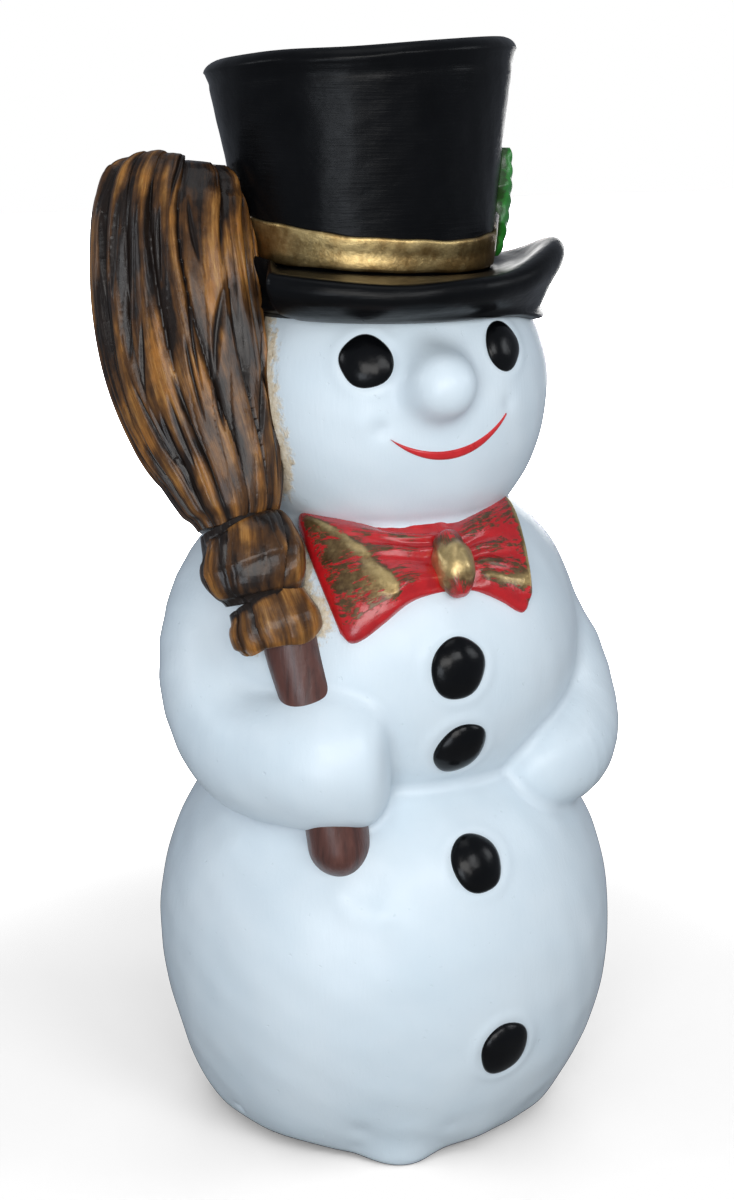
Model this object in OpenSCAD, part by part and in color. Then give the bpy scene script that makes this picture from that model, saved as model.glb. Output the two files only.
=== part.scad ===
// Hollow moulded snowman with a top hat, a bow tie and a broom.
// Front is -Y, the figure's own right hand is -X, and the floor is z = 0.

/* [Snow body] */
// Height of the lower ball's centre
lower_z = 120; // [115:1:125]
// Half width of the lower ball
lower_r = 141; // [139:0.5:143]
// Height of the torso's centre
torso_z = 300; // [298:1:303]
// Half width of the torso
torso_r = 120; // [118:0.5:122]
// Height of the head's centre
head_z = 455; // [453:1:457]
// Half width of the head
head_r = 99; // [98:0.5:100]
// Thickness of the moulded wall
wall = 4; // [3.5:0.5:4.5]

/* [Hat] */
// Height of the crown's foot, on the brim
hat_foot_z = 530; // [529:0.5:531]
// Overall height, to the top of the hat
total_h = 655; // [645:1:660]
// Radius of the crown at its foot
crown_foot_r = 72; // [71:0.5:73]
// Radius of the crown at its top
crown_top_r = 89.5; // [88:0.5:91]
// Sideways lean of the crown, in degrees
crown_lean = 1.9; // [1.5:0.1:2.5]
// Height of the hat band
band_h = 24; // [18:1:28]
// Greatest radius of the brim
brim_r = 116; // [113:0.5:117]

/* [Broom] */
// Radius of the broomstick at its foot
stick_r = 18; // [17:0.5:18.5]

/* [Base] */
// Thickness of the plywood base plate
plate_t = 9; // [8:0.5:9]
// Bolt circle of the anchor inserts
anchor_pcd = 100; // [90:1:110]

/* [Vent] */
// Radius of the vent bush's bore
vent_r = 10; // [9:0.5:11]

/* [Hidden] */
$fn = 144;

glue = 0.15;                 // glue line between bonded pieces
foot_t = 8;                  // height of the rubber feet
rim_z = 2;                   // the rim stands this far off the floor
// Each ball of snow: height of the centre, half width, half height above and below it
LOWER = [lower_z, lower_r, 150, 172];
TORSO = [torso_z, torso_r, 110, 105];
HEAD = [head_z, head_r, 92, 104];
BALLS = [LOWER, TORSO, HEAD];

// ---- The body's surface -------------------------------------------------
// Half height of a ball on the side of its centre that height z is on
function ball_h(b, z) = z > b[0] ? b[2] : b[3];
// Radius of one ball at height z, grown by d
function ball_r(b, z, d = 0) =
    let (s = (z - b[0]) / (ball_h(b, z) + d)) abs(s) >= 1 ? 0 : (b[1] + d) * sqrt(1 - s * s);
// Radius of the whole body at height z, grown by d
function body_r(z, d = 0) = max([for (b = BALLS) ball_r(b, z, d)]);
// Elevation of the surface's outward normal on ball b at height z
function normal_tilt(b, z) =
    let (h = ball_h(b, z), s = (z - b[0]) / h) atan2(s / h, sqrt(1 - s * s) / b[1]);

// Heights of the outline's points. The steps shorten towards the top of the head.
body_top = HEAD[0] + HEAD[2];
level_count = 92;
LEVELS = [for (i = [0:level_count - 1]) body_top * (1 - pow(1 - i / level_count, 1.35))];
function levels(z0, z1) = [for (z = LEVELS) if (z > z0 + 0.5 && z < z1 - 0.5) z];

// The solid body, grown by d, from height z0 up
module body_solid(d = 0, z0 = rim_z) {
    heights = levels(z0, body_top + min(d, 0));
    outline = concat([z0], heights);
    rotate_extrude() polygon(concat(
        [[0, z0]],
        [for (z = outline) [body_r(z, d), z]],
        [[0, body_top + d]]
    ));
}

// The torso alone, grown by d, from height z0 up
module torso_solid(d, z0) {
    top = TORSO[0] + TORSO[2] + d;
    rotate_extrude() polygon(concat(
        [[0, z0]],
        [for (z = concat([z0], levels(z0, top))) [ball_r(TORSO, z, d), z]],
        [[0, top]]
    ));
}

// Puts its children on ball b, at angle a from the front and height z, with +Z outward
module on_ball(b, a, z) {
    rotate([0, 0, a])
        translate([0, -ball_r(b, z), z])
            rotate([90 - normal_tilt(b, z), 0, 0])
                children();
}

// ---- Lofted soft shapes ---------------------------------------------------
// A loft's station is [centre, half width, half depth]
function unit(v) = v / norm(v);
function tangent(s, i) =
    unit(s[min(i + 1, len(s) - 1)][0] - s[max(i - 1, 0)][0]);
function ring(s, i, side, n, d) =
    let (t = tangent(s, i), w = unit(side - t * (side * t)), v = cross(t, w))
    [for (k = [0:n - 1]) let (a = 360 * k / n)
        s[i][0] + w * (s[i][1] + d) * cos(a) + v * (s[i][2] + d) * sin(a)];

// Skins a closed tube through the stations, grown by d. side is the direction of the half width.
module loft(stations, side, n = 24, d = 0) {
    last = len(stations) - 1;
    points = concat(
        [for (i = [0:last]) each ring(stations, i, side, n, d)],
        [stations[0][0], stations[last][0]]
    );
    sides = [for (i = [0:last - 1]) for (k = [0:n - 1])
        let (a = i * n + k, b = i * n + (k + 1) % n) each [[a, a + n, b], [b, a + n, b + n]]];
    foot = [for (k = [0:n - 1]) [(last + 1) * n, k, (k + 1) % n]];
    cap = [for (k = [0:n - 1]) [(last + 1) * n + 1, last * n + (k + 1) % n, last * n + k]];
    polyhedron(points = points, faces = concat(sides, foot, cap), convexity = 6);
}

// ---- Body shells ----------------------------------------------------------
// Pegs behind the glued-on features: [ball, angle, height]
EYE_RIGHT = [HEAD, -26, 484];
EYE_LEFT = [HEAD, 26, 488];
NOSE = [HEAD, 1, 471];
BUTTONS = [[TORSO, 0.5, 312], [TORSO, 2.8, 261], [LOWER, 5.5, 194], [LOWER, 10.5, 82]];
PEGGED = concat([EYE_RIGHT, EYE_LEFT, NOSE], BUTTONS);
peg_r = 4;
peg_l = 9;

module pegs(list, clearance = 0) {
    for (p = list) on_ball(p[0], p[1], p[2])
        translate([0, 0, -peg_l])
            cylinder(r = peg_r + clearance, h = peg_l + 1);
}

module half_space(front = true) {
    translate([-250, front ? -300 : 0, -50]) cube([500, 300, 800]);
}

module shell_wall() {
    difference() {
        body_solid();
        body_solid(-wall, rim_z - 1);
    }
}

module front_shell() {
    color("whitesmoke") difference() {
        intersection() {
            shell_wall();
            half_space(true);
        }
        pegs(PEGGED, 0.1);
    }
}

vent_z = lower_z;            // the vent sits on the lower ball's widest line, at the rear
bush_r = vent_r + 3;
module rear_shell() {
    color("whitesmoke") difference() {
        intersection() {
            shell_wall();
            half_space(false);
        }
        translate([0, 0, vent_z]) rotate([-90, 0, 0]) cylinder(r = bush_r + 0.1, h = 200);
    }
}

strip_t = 1.5;               // glass-tape strip bonded over the seam, inside
strip_w = 28;
strip_z0 = 32;
module seam_strip() {
    color("burlywood") intersection() {
        difference() {
            body_solid(-wall - glue);
            body_solid(-wall - glue - strip_t, rim_z - 1);
        }
        translate([-200, -strip_w / 2, strip_z0]) cube([400, strip_w, 700]);
    }
}

// ---- Arms -------------------------------------------------------------------
RIGHT_ARM = [
    [[-70, 12, 378], 10, 10], [[-76, 11, 369], 24, 24], [[-87, 9, 347], 35, 36],
    [[-96, 5, 320], 40, 41], [[-100, -6, 290], 42, 42], [[-99, -28, 264], 42, 42],
    [[-91, -51, 253], 42, 41], [[-78, -71, 251], 42, 42], [[-64, -83, 252], 40, 40],
    [[-50, -91, 253], 35, 37], [[-38, -96, 254], 25, 29], [[-32, -98, 254], 10, 12]
];
LEFT_ARM = [
    [[62, 4, 380], 10, 10], [[68, 3, 371], 23, 24], [[78, 1, 348], 34, 35],
    [[91, -4, 318], 37, 37], [[105, -13, 278], 40, 40], [[105, -34, 248], 38, 38],
    [[95, -51, 237], 35, 35], [[84, -62, 232], 33, 33], [[71, -70, 230], 27, 27],
    [[62, -75, 229], 12, 12]
];
RIGHT_SIDE = [0.8, 0.6, 0];  // directions of the arms' half widths
LEFT_SIDE = [-0.8, 0.6, 0];
arm_sides = 24;

module right_arm() {
    color("whitesmoke") difference() {
        loft(RIGHT_ARM, RIGHT_SIDE, arm_sides);
        body_solid(glue);
        stick_rod(glue);
    }
}

module left_arm() {
    color("whitesmoke") difference() {
        loft(LEFT_ARM, LEFT_SIDE, arm_sides);
        body_solid(glue);
    }
}

// ---- Face ---------------------------------------------------------------------
// A domed boss of radius r that stands h proud of ball b, with its peg
module domed_boss(spot, r, h) {
    dome = (r * r + h * h) / (2 * h);
    union() {
        difference() {
            on_ball(spot[0], spot[1], spot[2]) translate([0, 0, h - dome]) sphere(r = dome);
            body_solid(glue);
        }
        on_ball(spot[0], spot[1], spot[2])
            translate([0, 0, -peg_l]) cylinder(r = peg_r, h = peg_l + 2);
    }
}

module right_eye() { color("black") domed_boss(EYE_RIGHT, 15, 5); }
module left_eye() { color("black") domed_boss(EYE_LEFT, 14, 5); }

nose_r = 19;
nose_out = 6;                // the nose's centre stands this far off the face
module nose() {
    color("whitesmoke") union() {
        difference() {
            on_ball(NOSE[0], NOSE[1], NOSE[2]) translate([0, 0, nose_out]) sphere(r = nose_r);
            body_solid(glue);
        }
        on_ball(NOSE[0], NOSE[1], NOSE[2])
            translate([0, 0, -peg_l]) cylinder(r = peg_r, h = peg_l + 2);
    }
}

mouth_x = 5.5;               // the smile is a crescent between two arcs, through its two corners
mouth_z = 445.5;
mouth_half = 37;
mouth_tilt = 7;
smile_low_r = 47;
smile_high_r = 60;
mouth_t = 1.2;

// A circle of radius r that hangs below the corners of the mouth
module smile_arc(r) {
    translate([0, sqrt(r * r - mouth_half * mouth_half)]) circle(r = r);
}

module mouth() {
    color("red") intersection() {
        difference() {
            body_solid(glue + mouth_t);
            body_solid(glue, rim_z - 1);
        }
        translate([mouth_x, 0, mouth_z]) rotate([90, 0, 0]) linear_extrude(height = 200)
            rotate([0, 0, mouth_tilt]) difference() {
                smile_arc(smile_low_r);
                smile_arc(smile_high_r);
            }
    }
}

// ---- Bow tie --------------------------------------------------------------------
KNOT = [5, -100, 368];
knot_lean = 40;              // the knot lies back along the slope of the chest
knot_r = 12.5;
knot_half = 21;

module knot_barrel(d = 0) {
    translate(KNOT) rotate([-knot_lean, 0, 0]) rotate_extrude()
        polygon([for (a = [-90:10:90]) [(knot_r + d) * cos(a), (knot_half + d) * sin(a)]]);
}

module bow_knot() {
    color("goldenrod") difference() {
        knot_barrel();
        body_solid(glue);
    }
}

// Outlines of the wings, seen square to the chest: X, and distance up its slope from the knot
WING_RIGHT = [[-5, -15], [-30, -18], [-60, -34], [-68, -28], [-74, 44], [-70, 55], [-13, 34], [-5, 32]];
WING_LEFT = [[5, -15], [20, -17], [46, -28], [52, -24], [67, 46], [64, 55], [13, 33], [5, 32]];
bow_t = 9;
bow_depth = 55;

module bow_wing(outline) {
    color("red") difference() {
        intersection() {
            translate(KNOT) rotate([90 - knot_lean, 0, 0]) translate([0, 0, -bow_depth])
                linear_extrude(height = 2 * bow_depth) polygon(outline);
            torso_solid(bow_t, 300);
        }
        body_solid(glue);
        knot_barrel(glue);
    }
}

module bow_right_wing() { bow_wing(WING_RIGHT); }
module bow_left_wing() { bow_wing(WING_LEFT); }

// ---- Buttons ----------------------------------------------------------------------
button_r = 17.5;
button_h = 7;
module button(i) { color("black") domed_boss(BUTTONS[i], button_r, button_h); }

// ---- Hat ----------------------------------------------------------------------------
hat_x = -9;                  // the hat sits a little towards the figure's right
top_tilt = 4.6;              // the crown's top slopes, in degrees
top_drop = 7;                // how far the crown's top lies below total_h on its axis
crown_h = total_h - top_drop - hat_foot_z;
rim_sections = 60;

// Radius of the crown at height z, grown by d
function crown_r(z, d = 0) =
    crown_foot_r + (crown_top_r - crown_foot_r) * (z - hat_foot_z) / crown_h + d;

// A cone of the crown's shape from z0 to z1, grown by d
module crown_cone(z0, z1, d) {
    translate([hat_x, 0, hat_foot_z]) rotate([0, -crown_lean, 0]) translate([0, 0, -hat_foot_z])
        translate([0, 0, z0])
            cylinder(r1 = crown_r(z0, d), r2 = crown_r(z1, d), h = z1 - z0);
}

// Everything above the crown's sloping top, lowered by d
module above_top(d) {
    translate([hat_x, 0, total_h - top_drop - d]) rotate([0, -top_tilt, 0])
        translate([-200, -200, 0]) cube([400, 400, 200]);
}

// Everything below the crown's foot
module below_foot() {
    translate([-200, -200, hat_foot_z + glue - 100]) cube([400, 400, 100]);
}

module hat_crown() {
    color("black") difference() {
        crown_cone(hat_foot_z - 10, total_h + 20, 0);
        above_top(0);
        below_foot();
        difference() {
            crown_cone(hat_foot_z - 20, total_h + 20, -wall);
            above_top(wall);
        }
    }
}

band_t = 2.5;
band_lift = 1;
module band_ring(d = 0) {
    difference() {
        crown_cone(hat_foot_z - 6, hat_foot_z + band_lift + band_h, band_t + d);
        crown_cone(hat_foot_z - 7, hat_foot_z + band_lift + band_h + 1, glue);
        translate([0, 0, band_lift]) below_foot();
    }
}
module hat_band() { color("goldenrod") band_ring(); }

// The brim droops at the front and back and curls up at the sides.
brim_foot_z = 503;           // where the brim meets the face
brim_gap = 0.8;              // clearance round the head, past the facets
landing_in = 62;             // flat landing under the crown, between these two radii
landing_r = 82;
function brim_lift(a) = -1 - 5 * cos(2 * a);
// The brim is tucked in on the right, where the broom leans against it.
brim_tuck = 18;
tuck_span = 42;
function brim_out(a) =
    brim_r - 3 * (1 + cos(2 * a)) - brim_tuck * exp(-pow((a - 270) / tuck_span, 4));
function brim_section(a) =
    let (l = brim_lift(a), r = brim_out(a)) [
        [ball_r(HEAD, 530) + brim_gap, 530],
        [landing_r, 530],
        [landing_r + 12, 530 + l * 0.4],
        [r - 7, 533 + l],
        [r - 1, 530 + l],
        [r, 524 + l],
        [r - 4, 516 + l * 0.5],
        [r - 12, 508 + l * 0.2],
        [ball_r(HEAD, brim_foot_z) + brim_gap, brim_foot_z],
        [ball_r(HEAD, 513) + brim_gap, 513],
        [ball_r(HEAD, 522) + brim_gap, 522]
    ];
// Outside the head, the brim is centred on the hat
function brim_shift(r) = hat_x * max(0, min(1, (r - landing_in) / (landing_r - landing_in)));
module hat_brim() {
    n = len(brim_section(0));
    points = [for (i = [0:rim_sections - 1]) let (a = 360 * i / rim_sections)
        each [for (p = brim_section(a))
            [p[0] * sin(a) + (p[1] > brim_foot_z ? brim_shift(p[0]) : 0), -p[0] * cos(a), p[1]]]];
    faces = [for (i = [0:rim_sections - 1]) for (k = [0:n - 1])
        let (j = (i + 1) % rim_sections, m = (k + 1) % n,
             a = i * n + k, b = j * n + k, c = j * n + m, d = i * n + m)
        each [[a, b, c], [a, c, d]]];
    color("black") difference() {
        polyhedron(points = points, faces = faces, convexity = 8);
        body_solid(glue);
    }
}

leaf_turn = 80;              // the leaf lies on the hat's left side
leaf_t = 9;
leaf_low = 533;
leaf_high = 594;
leaf_half = 15;
leaf_lobes = 3;
// Half width of the holly leaf at s, from 0 at its tip to 1 at its stalk
function leaf_w(s) = leaf_half * pow(sin(180 * s), 0.6) * (1 - 0.3 * abs(sin(180 * leaf_lobes * s)));
module leaf_outline() {
    length = leaf_high - leaf_low;
    side = [for (i = [0:24]) [leaf_w(i / 24) + 0.5, length * i / 24]];
    back = [for (i = [24:-1:0]) [-leaf_w(i / 24) - 0.5, length * i / 24]];
    polygon(concat(side, back));
}
module hat_leaf() {
    color("green") intersection() {
        difference() {
            crown_cone(hat_foot_z + 2, total_h - 10, leaf_t);
            crown_cone(hat_foot_z + 1, total_h - 9, glue);
            crown_cone(hat_foot_z - 6, hat_foot_z + band_lift + band_h + glue, band_t + glue);
        }
        rotate([0, 0, leaf_turn]) translate([0, 0, leaf_low])
            rotate([90, 0, 0]) linear_extrude(height = 150) leaf_outline();
    }
}

// ---- Broom ------------------------------------------------------------------------------
// The broom is drawn in a frame turned towards the figure's right: X across, -Y outward
broom_turn = -21;
STICK_LOW = [-24, -112, 206];
STICK_HIGH = [-44, -103, 329];
stick_top_r = 15.5;

module broom_frame() { rotate([0, 0, broom_turn]) children(); }

// A tapered rod from p to q, with a rounded foot
module rod(p, q, r1, r2) {
    v = q - p;
    translate(p) rotate([0, acos(v[2] / norm(v)), atan2(v[1], v[0])]) {
        cylinder(r1 = r1, r2 = r2, h = norm(v));
        sphere(r = r1);
    }
}

// The broomstick, grown by d
module stick_rod(d = 0) {
    broom_frame() rod(STICK_LOW, STICK_HIGH, stick_r + d, stick_top_r + d);
}

// Stations of the three straw parts, each from its lower end
COLLAR = [
    [[-54, -104, 326], 23, 18], [[-57, -105, 332], 25, 20], [[-62, -103, 341], 22, 19],
    [[-66, -100, 349], 20, 17]
];
BINDING = [
    [[-66, -100, 349.5], 20, 17], [[-68, -98, 357], 25, 21], [[-70, -96, 366], 29, 24],
    [[-73, -92, 376], 30, 24], [[-77, -89, 383], 26, 22], [[-82, -85, 389], 22, 19]
];
BRISTLES = [
    [[-82, -85, 389.5], 22, 19], [[-84, -81, 399], 29, 24], [[-90, -75, 419], 36, 28],
    [[-99, -68, 443], 43, 31], [[-108, -60, 476], 48, 32], [[-114, -52, 511], 49, 32],
    [[-117, -44, 545], 47, 30], [[-116, -37, 568], 44, 25], [[-114, -33, 582], 38, 19],
    [[-113, -31, 588], 28, 9]
];
STRAW_SIDE = [1, 0, 0];
straw_sides = 28;
straw_gap = 0.3;

// A straw part, cut to lie against the snow and the arm
module straw(stations) {
    color("peru") difference() {
        broom_frame() loft(stations, STRAW_SIDE, straw_sides);
        body_solid(glue);
        loft(RIGHT_ARM, RIGHT_SIDE, arm_sides, straw_gap);
        children();
    }
}

// Room that the broom leaves for the brim, the band and the crown
module hat_room() {
    translate([hat_x, 0, 497]) cylinder(r = brim_r - brim_tuck + 1, h = 50);
    crown_cone(hat_foot_z, total_h - 20, band_t + 1);
}

module broom_stick() {
    color("saddlebrown") difference() {
        stick_rod();
        body_solid(glue);
        broom_frame() loft(COLLAR, STRAW_SIDE, straw_sides, 0.05);
    }
}

module binding_room() { broom_frame() loft(BINDING, STRAW_SIDE, straw_sides, glue); }

module broom_collar() { straw(COLLAR) binding_room(); }
module broom_binding() { straw(BINDING) knot_barrel(glue); }
module broom_bristles() { straw(BRISTLES) { hat_room(); binding_room(); } }

// ---- Base -----------------------------------------------------------------------------------
plate_z = foot_t;
plate_r = body_r(plate_z, -wall) - 0.5;
ring_t = 12;
ring_in = 78;
screw_count = 6;
screw_circle = 88;
screw_r = 2;
screw_head_r = 4;
foot_count = 4;
foot_circle = 68;
foot_r = 12;
insert_r = 4.5;
thread_r = 2.5;

module around(count, radius, start = 0) {
    for (i = [0:count - 1]) rotate([0, 0, start + 360 * i / count])
        translate([radius, 0, 0]) children();
}

module screw_shape(d = 0) {
    cylinder(r1 = screw_head_r + d, r2 = screw_r + d, h = 3);
    cylinder(r = screw_r + d, h = 19);
}

module base_plate() {
    color("burlywood") difference() {
        translate([0, 0, plate_z]) cylinder(r = plate_r, h = plate_t);
        translate([0, 0, plate_z]) around(screw_count, screw_circle, 30) screw_shape(0.1);
        translate([0, 0, plate_z - 1]) around(3, anchor_pcd / 2, 90)
            cylinder(r = insert_r + 0.05, h = plate_t + 2);
    }
}

module base_ring() {
    color("burlywood") difference() {
        intersection() {
            translate([0, 0, plate_z + plate_t]) cylinder(r = 2 * plate_r, h = ring_t);
            body_solid(-wall - glue);
        }
        translate([0, 0, plate_z]) cylinder(r = ring_in, h = 60);
        translate([0, 0, plate_z]) around(screw_count, screw_circle, 30) screw_shape(0.1);
    }
}

module base_screws() {
    color("silver") translate([0, 0, plate_z]) around(screw_count, screw_circle, 30) screw_shape();
}

module foot_pad() { cylinder(r1 = foot_r - 1, r2 = foot_r, h = foot_t); }

// A pad in the middle and four near the rim
module rubber_feet() {
    color("dimgray") {
        foot_pad();
        around(foot_count, foot_circle, 45) foot_pad();
    }
}

module anchor_inserts() {
    color("gold") translate([0, 0, plate_z]) around(3, anchor_pcd / 2, 90) difference() {
        cylinder(r = insert_r, h = plate_t);
        translate([0, 0, -1]) cylinder(r = thread_r, h = plate_t + 2);
    }
}

// ---- Vent ---------------------------------------------------------------------------------
flange_r = bush_r + 4;
flange_out = 2;
bush_len = 16;
plug_gap = 0.05;
plug_len = 14;
cap_r = 14;
cap_t = 3;
tab_w = 14;
tab_l = 9;
tab_t = 4;

// Origin on the rear of the lower ball, with +Z pointing out
module vent_frame() { translate([0, lower_r, vent_z]) rotate([-90, 0, 0]) children(); }

module vent_bush() {
    color("gainsboro") difference() {
        union() {
            vent_frame() translate([0, 0, -bush_len]) cylinder(r = bush_r, h = bush_len + 1);
            difference() {
                vent_frame() translate([0, 0, -5]) cylinder(r = flange_r, h = 5 + flange_out);
                body_solid(glue);
            }
        }
        vent_frame() translate([0, 0, -50]) cylinder(r = vent_r, h = 80);
    }
}

module vent_plug() {
    color("dimgray") vent_frame() difference() {
        union() {
            translate([0, 0, flange_out - plug_len]) cylinder(r = vent_r - plug_gap, h = plug_len + 1);
            translate([0, 0, flange_out + 0.3]) cylinder(r = cap_r, h = cap_t);
            translate([-tab_w / 2, -tab_t / 2, flange_out + cap_t]) cube([tab_w, tab_t, tab_l]);
        }
        translate([0, tab_t, flange_out + cap_t + tab_l - 4]) rotate([90, 0, 0])
            cylinder(r = 2.5, h = 2 * tab_t);
    }
}

front_shell();
rear_shell();
seam_strip();
right_arm();
left_arm();
nose();
right_eye();
left_eye();
mouth();
bow_right_wing();
bow_left_wing();
bow_knot();
button(0);  // top_button
button(1);  // second_button
button(2);  // third_button
button(3);  // bottom_button
hat_brim();
hat_crown();
hat_band();
hat_leaf();
broom_stick();
broom_bristles();
broom_binding();
broom_collar();
base_plate();
base_ring();
base_screws();
rubber_feet();
anchor_inserts();
vent_bush();
vent_plug();
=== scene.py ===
"""A hand-painted, moulded snowman with a top hat, a bow tie and a broom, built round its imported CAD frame.

Lengths are in millimetres until a mesh is made. Front is -Y, and the figure's own right hand is -X.
"""
from math import cos, degrees, pi, radians, sin, sqrt, tan, tau

import bpy
import numpy as np
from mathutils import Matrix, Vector
from mathutils.kdtree import KDTree


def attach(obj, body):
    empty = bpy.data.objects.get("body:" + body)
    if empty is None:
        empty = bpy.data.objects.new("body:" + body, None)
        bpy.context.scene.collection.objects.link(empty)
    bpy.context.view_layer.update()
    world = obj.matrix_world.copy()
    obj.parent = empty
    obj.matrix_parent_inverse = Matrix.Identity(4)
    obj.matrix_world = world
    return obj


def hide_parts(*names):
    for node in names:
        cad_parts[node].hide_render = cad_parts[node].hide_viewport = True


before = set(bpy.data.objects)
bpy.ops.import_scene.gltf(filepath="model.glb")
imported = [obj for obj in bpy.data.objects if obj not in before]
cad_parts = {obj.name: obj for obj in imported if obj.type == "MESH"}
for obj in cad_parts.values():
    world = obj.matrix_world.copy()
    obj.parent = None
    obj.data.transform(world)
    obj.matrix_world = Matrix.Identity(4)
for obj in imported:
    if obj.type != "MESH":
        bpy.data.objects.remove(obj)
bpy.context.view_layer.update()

MM = 0.001
FIGURE = "figure"


# ---- Small maths ----
def unit(v):
    """v scaled to length 1, along its last axis."""
    v = np.asarray(v, float)
    return v / np.maximum(np.linalg.norm(v, axis=-1, keepdims=True), 1e-12)


def smooth(x, low, high):
    """0 below low, 1 above high, and smooth in between."""
    t = np.clip((x - low) / (high - low), 0, 1)
    return t * t * (3 - 2 * t)


def blend_min(a, b, k):
    """The union of two distance fields, with a fillet about k wide."""
    h = np.clip(0.5 + 0.5 * (b - a) / k, 0, 1)
    return b + (a - b) * h - k * h * (1 - h)


def blend_max(a, b, k):
    """The intersection of two distance fields, with a rounded edge."""
    return -blend_min(-a, -b, k)


def waves(p, length, seed, count=7):
    """Smooth seeded noise between about -1 and 1, whose lumps are about length across."""
    rng = np.random.default_rng(seed)
    total = 0
    for _ in range(count):
        direction = unit(rng.normal(size=3)) * rng.uniform(0.6, 1.4) * tau / length
        total = total + np.sin(p @ direction + rng.uniform(0, tau))
    return total / sqrt(count) * 0.8


def bell(x, at, reach):
    """1 at x = at, falling smoothly to 0 over reach."""
    return np.exp(-(((x - at) / reach) ** 2))


def bump(p, centre, radius):
    """1 at centre, falling smoothly to 0 over radius."""
    d = np.linalg.norm(p - np.asarray(centre, float), axis=-1) / radius
    return np.exp(-2.2 * d * d)


def turns(count):
    """count angles all the way round, in radians."""
    return np.linspace(0, tau, count, endpoint=False)


def spline(points, count):
    """count points along a smooth curve through points. Each point may hold any number of values."""
    p = np.asarray(points, float)
    p = np.vstack([2 * p[0] - p[1], p, 2 * p[-1] - p[-2]])
    t = np.linspace(0, len(p) - 3 - 1e-9, count)
    i = t.astype(int)
    f = (t - i)[:, None]
    a, b, c, d = p[i], p[i + 1], p[i + 2], p[i + 3]
    return 0.5 * (2 * b + (c - a) * f + (2 * a - 5 * b + 4 * c - d) * f**2 + (3 * b - a - 3 * c + d) * f**3)


def polar(angle, radius, z):
    """The point at an angle in degrees from the front, towards the figure's left."""
    a = radians(angle)
    return np.array([sin(a) * radius, -cos(a) * radius, z])


# ---- Meshes ----
def add(name, data):
    """A new object in the scene."""
    thing = bpy.data.objects.new(name, data)
    bpy.context.scene.collection.objects.link(thing)
    return thing


def make_piece(name, verts, faces, material, node, marks=None, normals=None):
    """A smooth mesh from points in mm, in place of a CAD node. marks are per-vertex values for its paint."""
    mesh = bpy.data.meshes.new(name)
    mesh.from_pydata((np.asarray(verts) * MM).tolist(), [], [list(map(int, f)) for f in faces])
    mesh.validate()
    mesh.update()
    mesh.polygons.foreach_set("use_smooth", [True] * len(mesh.polygons))
    for key, values in (marks or {}).items():
        layer = mesh.attributes.new(key, "FLOAT", "POINT")
        layer.data.foreach_set("value", np.asarray(values, np.float32))
    if normals is not None:
        mesh.normals_split_custom_set(normals)
    mesh.materials.append(material)
    piece = add(name, mesh)
    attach(piece, FIGURE)
    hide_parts(node)
    return piece


def grid_faces(rows, columns, ring=False):
    """Quads over rows of points that close on themselves. ring joins the last row to the first as well."""
    faces = []
    for r in range(rows if ring else rows - 1):
        s = (r + 1) % rows
        for c in range(columns):
            d = (c + 1) % columns
            a, b, e, f = r * columns + c, r * columns + d, s * columns + d, s * columns + c
            faces.append((a, f, e, b) if ring else (a, b, e, f))
    return faces


def closed_rings(rings):
    """Points and faces of a solid skinned over rings of points, with a fan at each end."""
    rings = np.asarray(rings)
    rows, columns = rings.shape[:2]
    verts = np.vstack([rings.reshape(-1, 3), rings[0].mean(0), rings[-1].mean(0)])
    faces = grid_faces(rows, columns)
    first, last = rows * columns, rows * columns + 1
    for c in range(columns):
        d = (c + 1) % columns
        faces += [(first, d, c), (last, first - columns + c, first - columns + d)]
    return verts, faces


def with_ends(values, ends=(0, 0)):
    """A mark for the points of closed_rings: a value for each point of its rings, then one for each end."""
    return np.append(np.ravel(values), ends)


def torus_rings(sections):
    """Points and faces of a ring-shaped solid: sections of points that close on themselves, all round."""
    sections = np.asarray(sections)
    return sections.reshape(-1, 3), grid_faces(*sections.shape[:2], ring=True)


# ---- The snow's shape, as a distance field ----
# Each ball: height of the centre, half width, half height above and below it
LOWER = (120, 141, 150, 172)
TORSO = (300, 120, 110, 105)
HEAD = (455, 99, 92, 104)
WALL = 4
FAR = 60.0


def ellipsoid(p, centre, radii):
    """Distance, near enough, to an ellipsoid."""
    q = p - np.asarray(centre, float)
    r = np.asarray(radii, float)
    k0 = np.linalg.norm(q / r, axis=-1)
    k1 = np.linalg.norm(q / (r * r), axis=-1)
    return k0 * (k0 - 1) / np.maximum(k1, 1e-9)


def ball(p, b, shift=0.0):
    """Distance to one ball of snow, which stands shift to the figure's left."""
    z, wide, above, below = b
    half = np.full(p.shape[:-1], float(wide))
    return ellipsoid(p, (shift, 0, z), np.stack([half, half, np.where(p[..., 2] - z > 0, above, below)], -1))


def close_by(p, low, high, field):
    """field near a box, and FAR elsewhere."""
    d = np.full(p.shape[:-1], FAR)
    near = ((p > np.asarray(low) - FAR * 0.7) & (p < np.asarray(high) + FAR * 0.7)).all(-1)
    if near.any():
        d[near] = np.minimum(field(p[near]), FAR)
    return d


def limb(p, stations):
    """Distance to a chain of tapered capsules through (x, y, z, radius) stations."""
    def chain(q):
        total = None
        for a, b in zip(stations[:-1], stations[1:]):
            ab = b[:3] - a[:3]
            t = np.clip(((q - a[:3]) @ ab) / (ab @ ab), 0, 1)
            d = np.linalg.norm(q - a[:3] - t[..., None] * ab, axis=-1) - (a[3] + (b[3] - a[3]) * t)
            total = d if total is None else blend_min(total, d, 3)
        return total
    centre, radius = stations[:, :3], stations[:, 3:]
    return close_by(p, (centre - radius).min(0), (centre + radius).max(0), chain)


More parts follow.
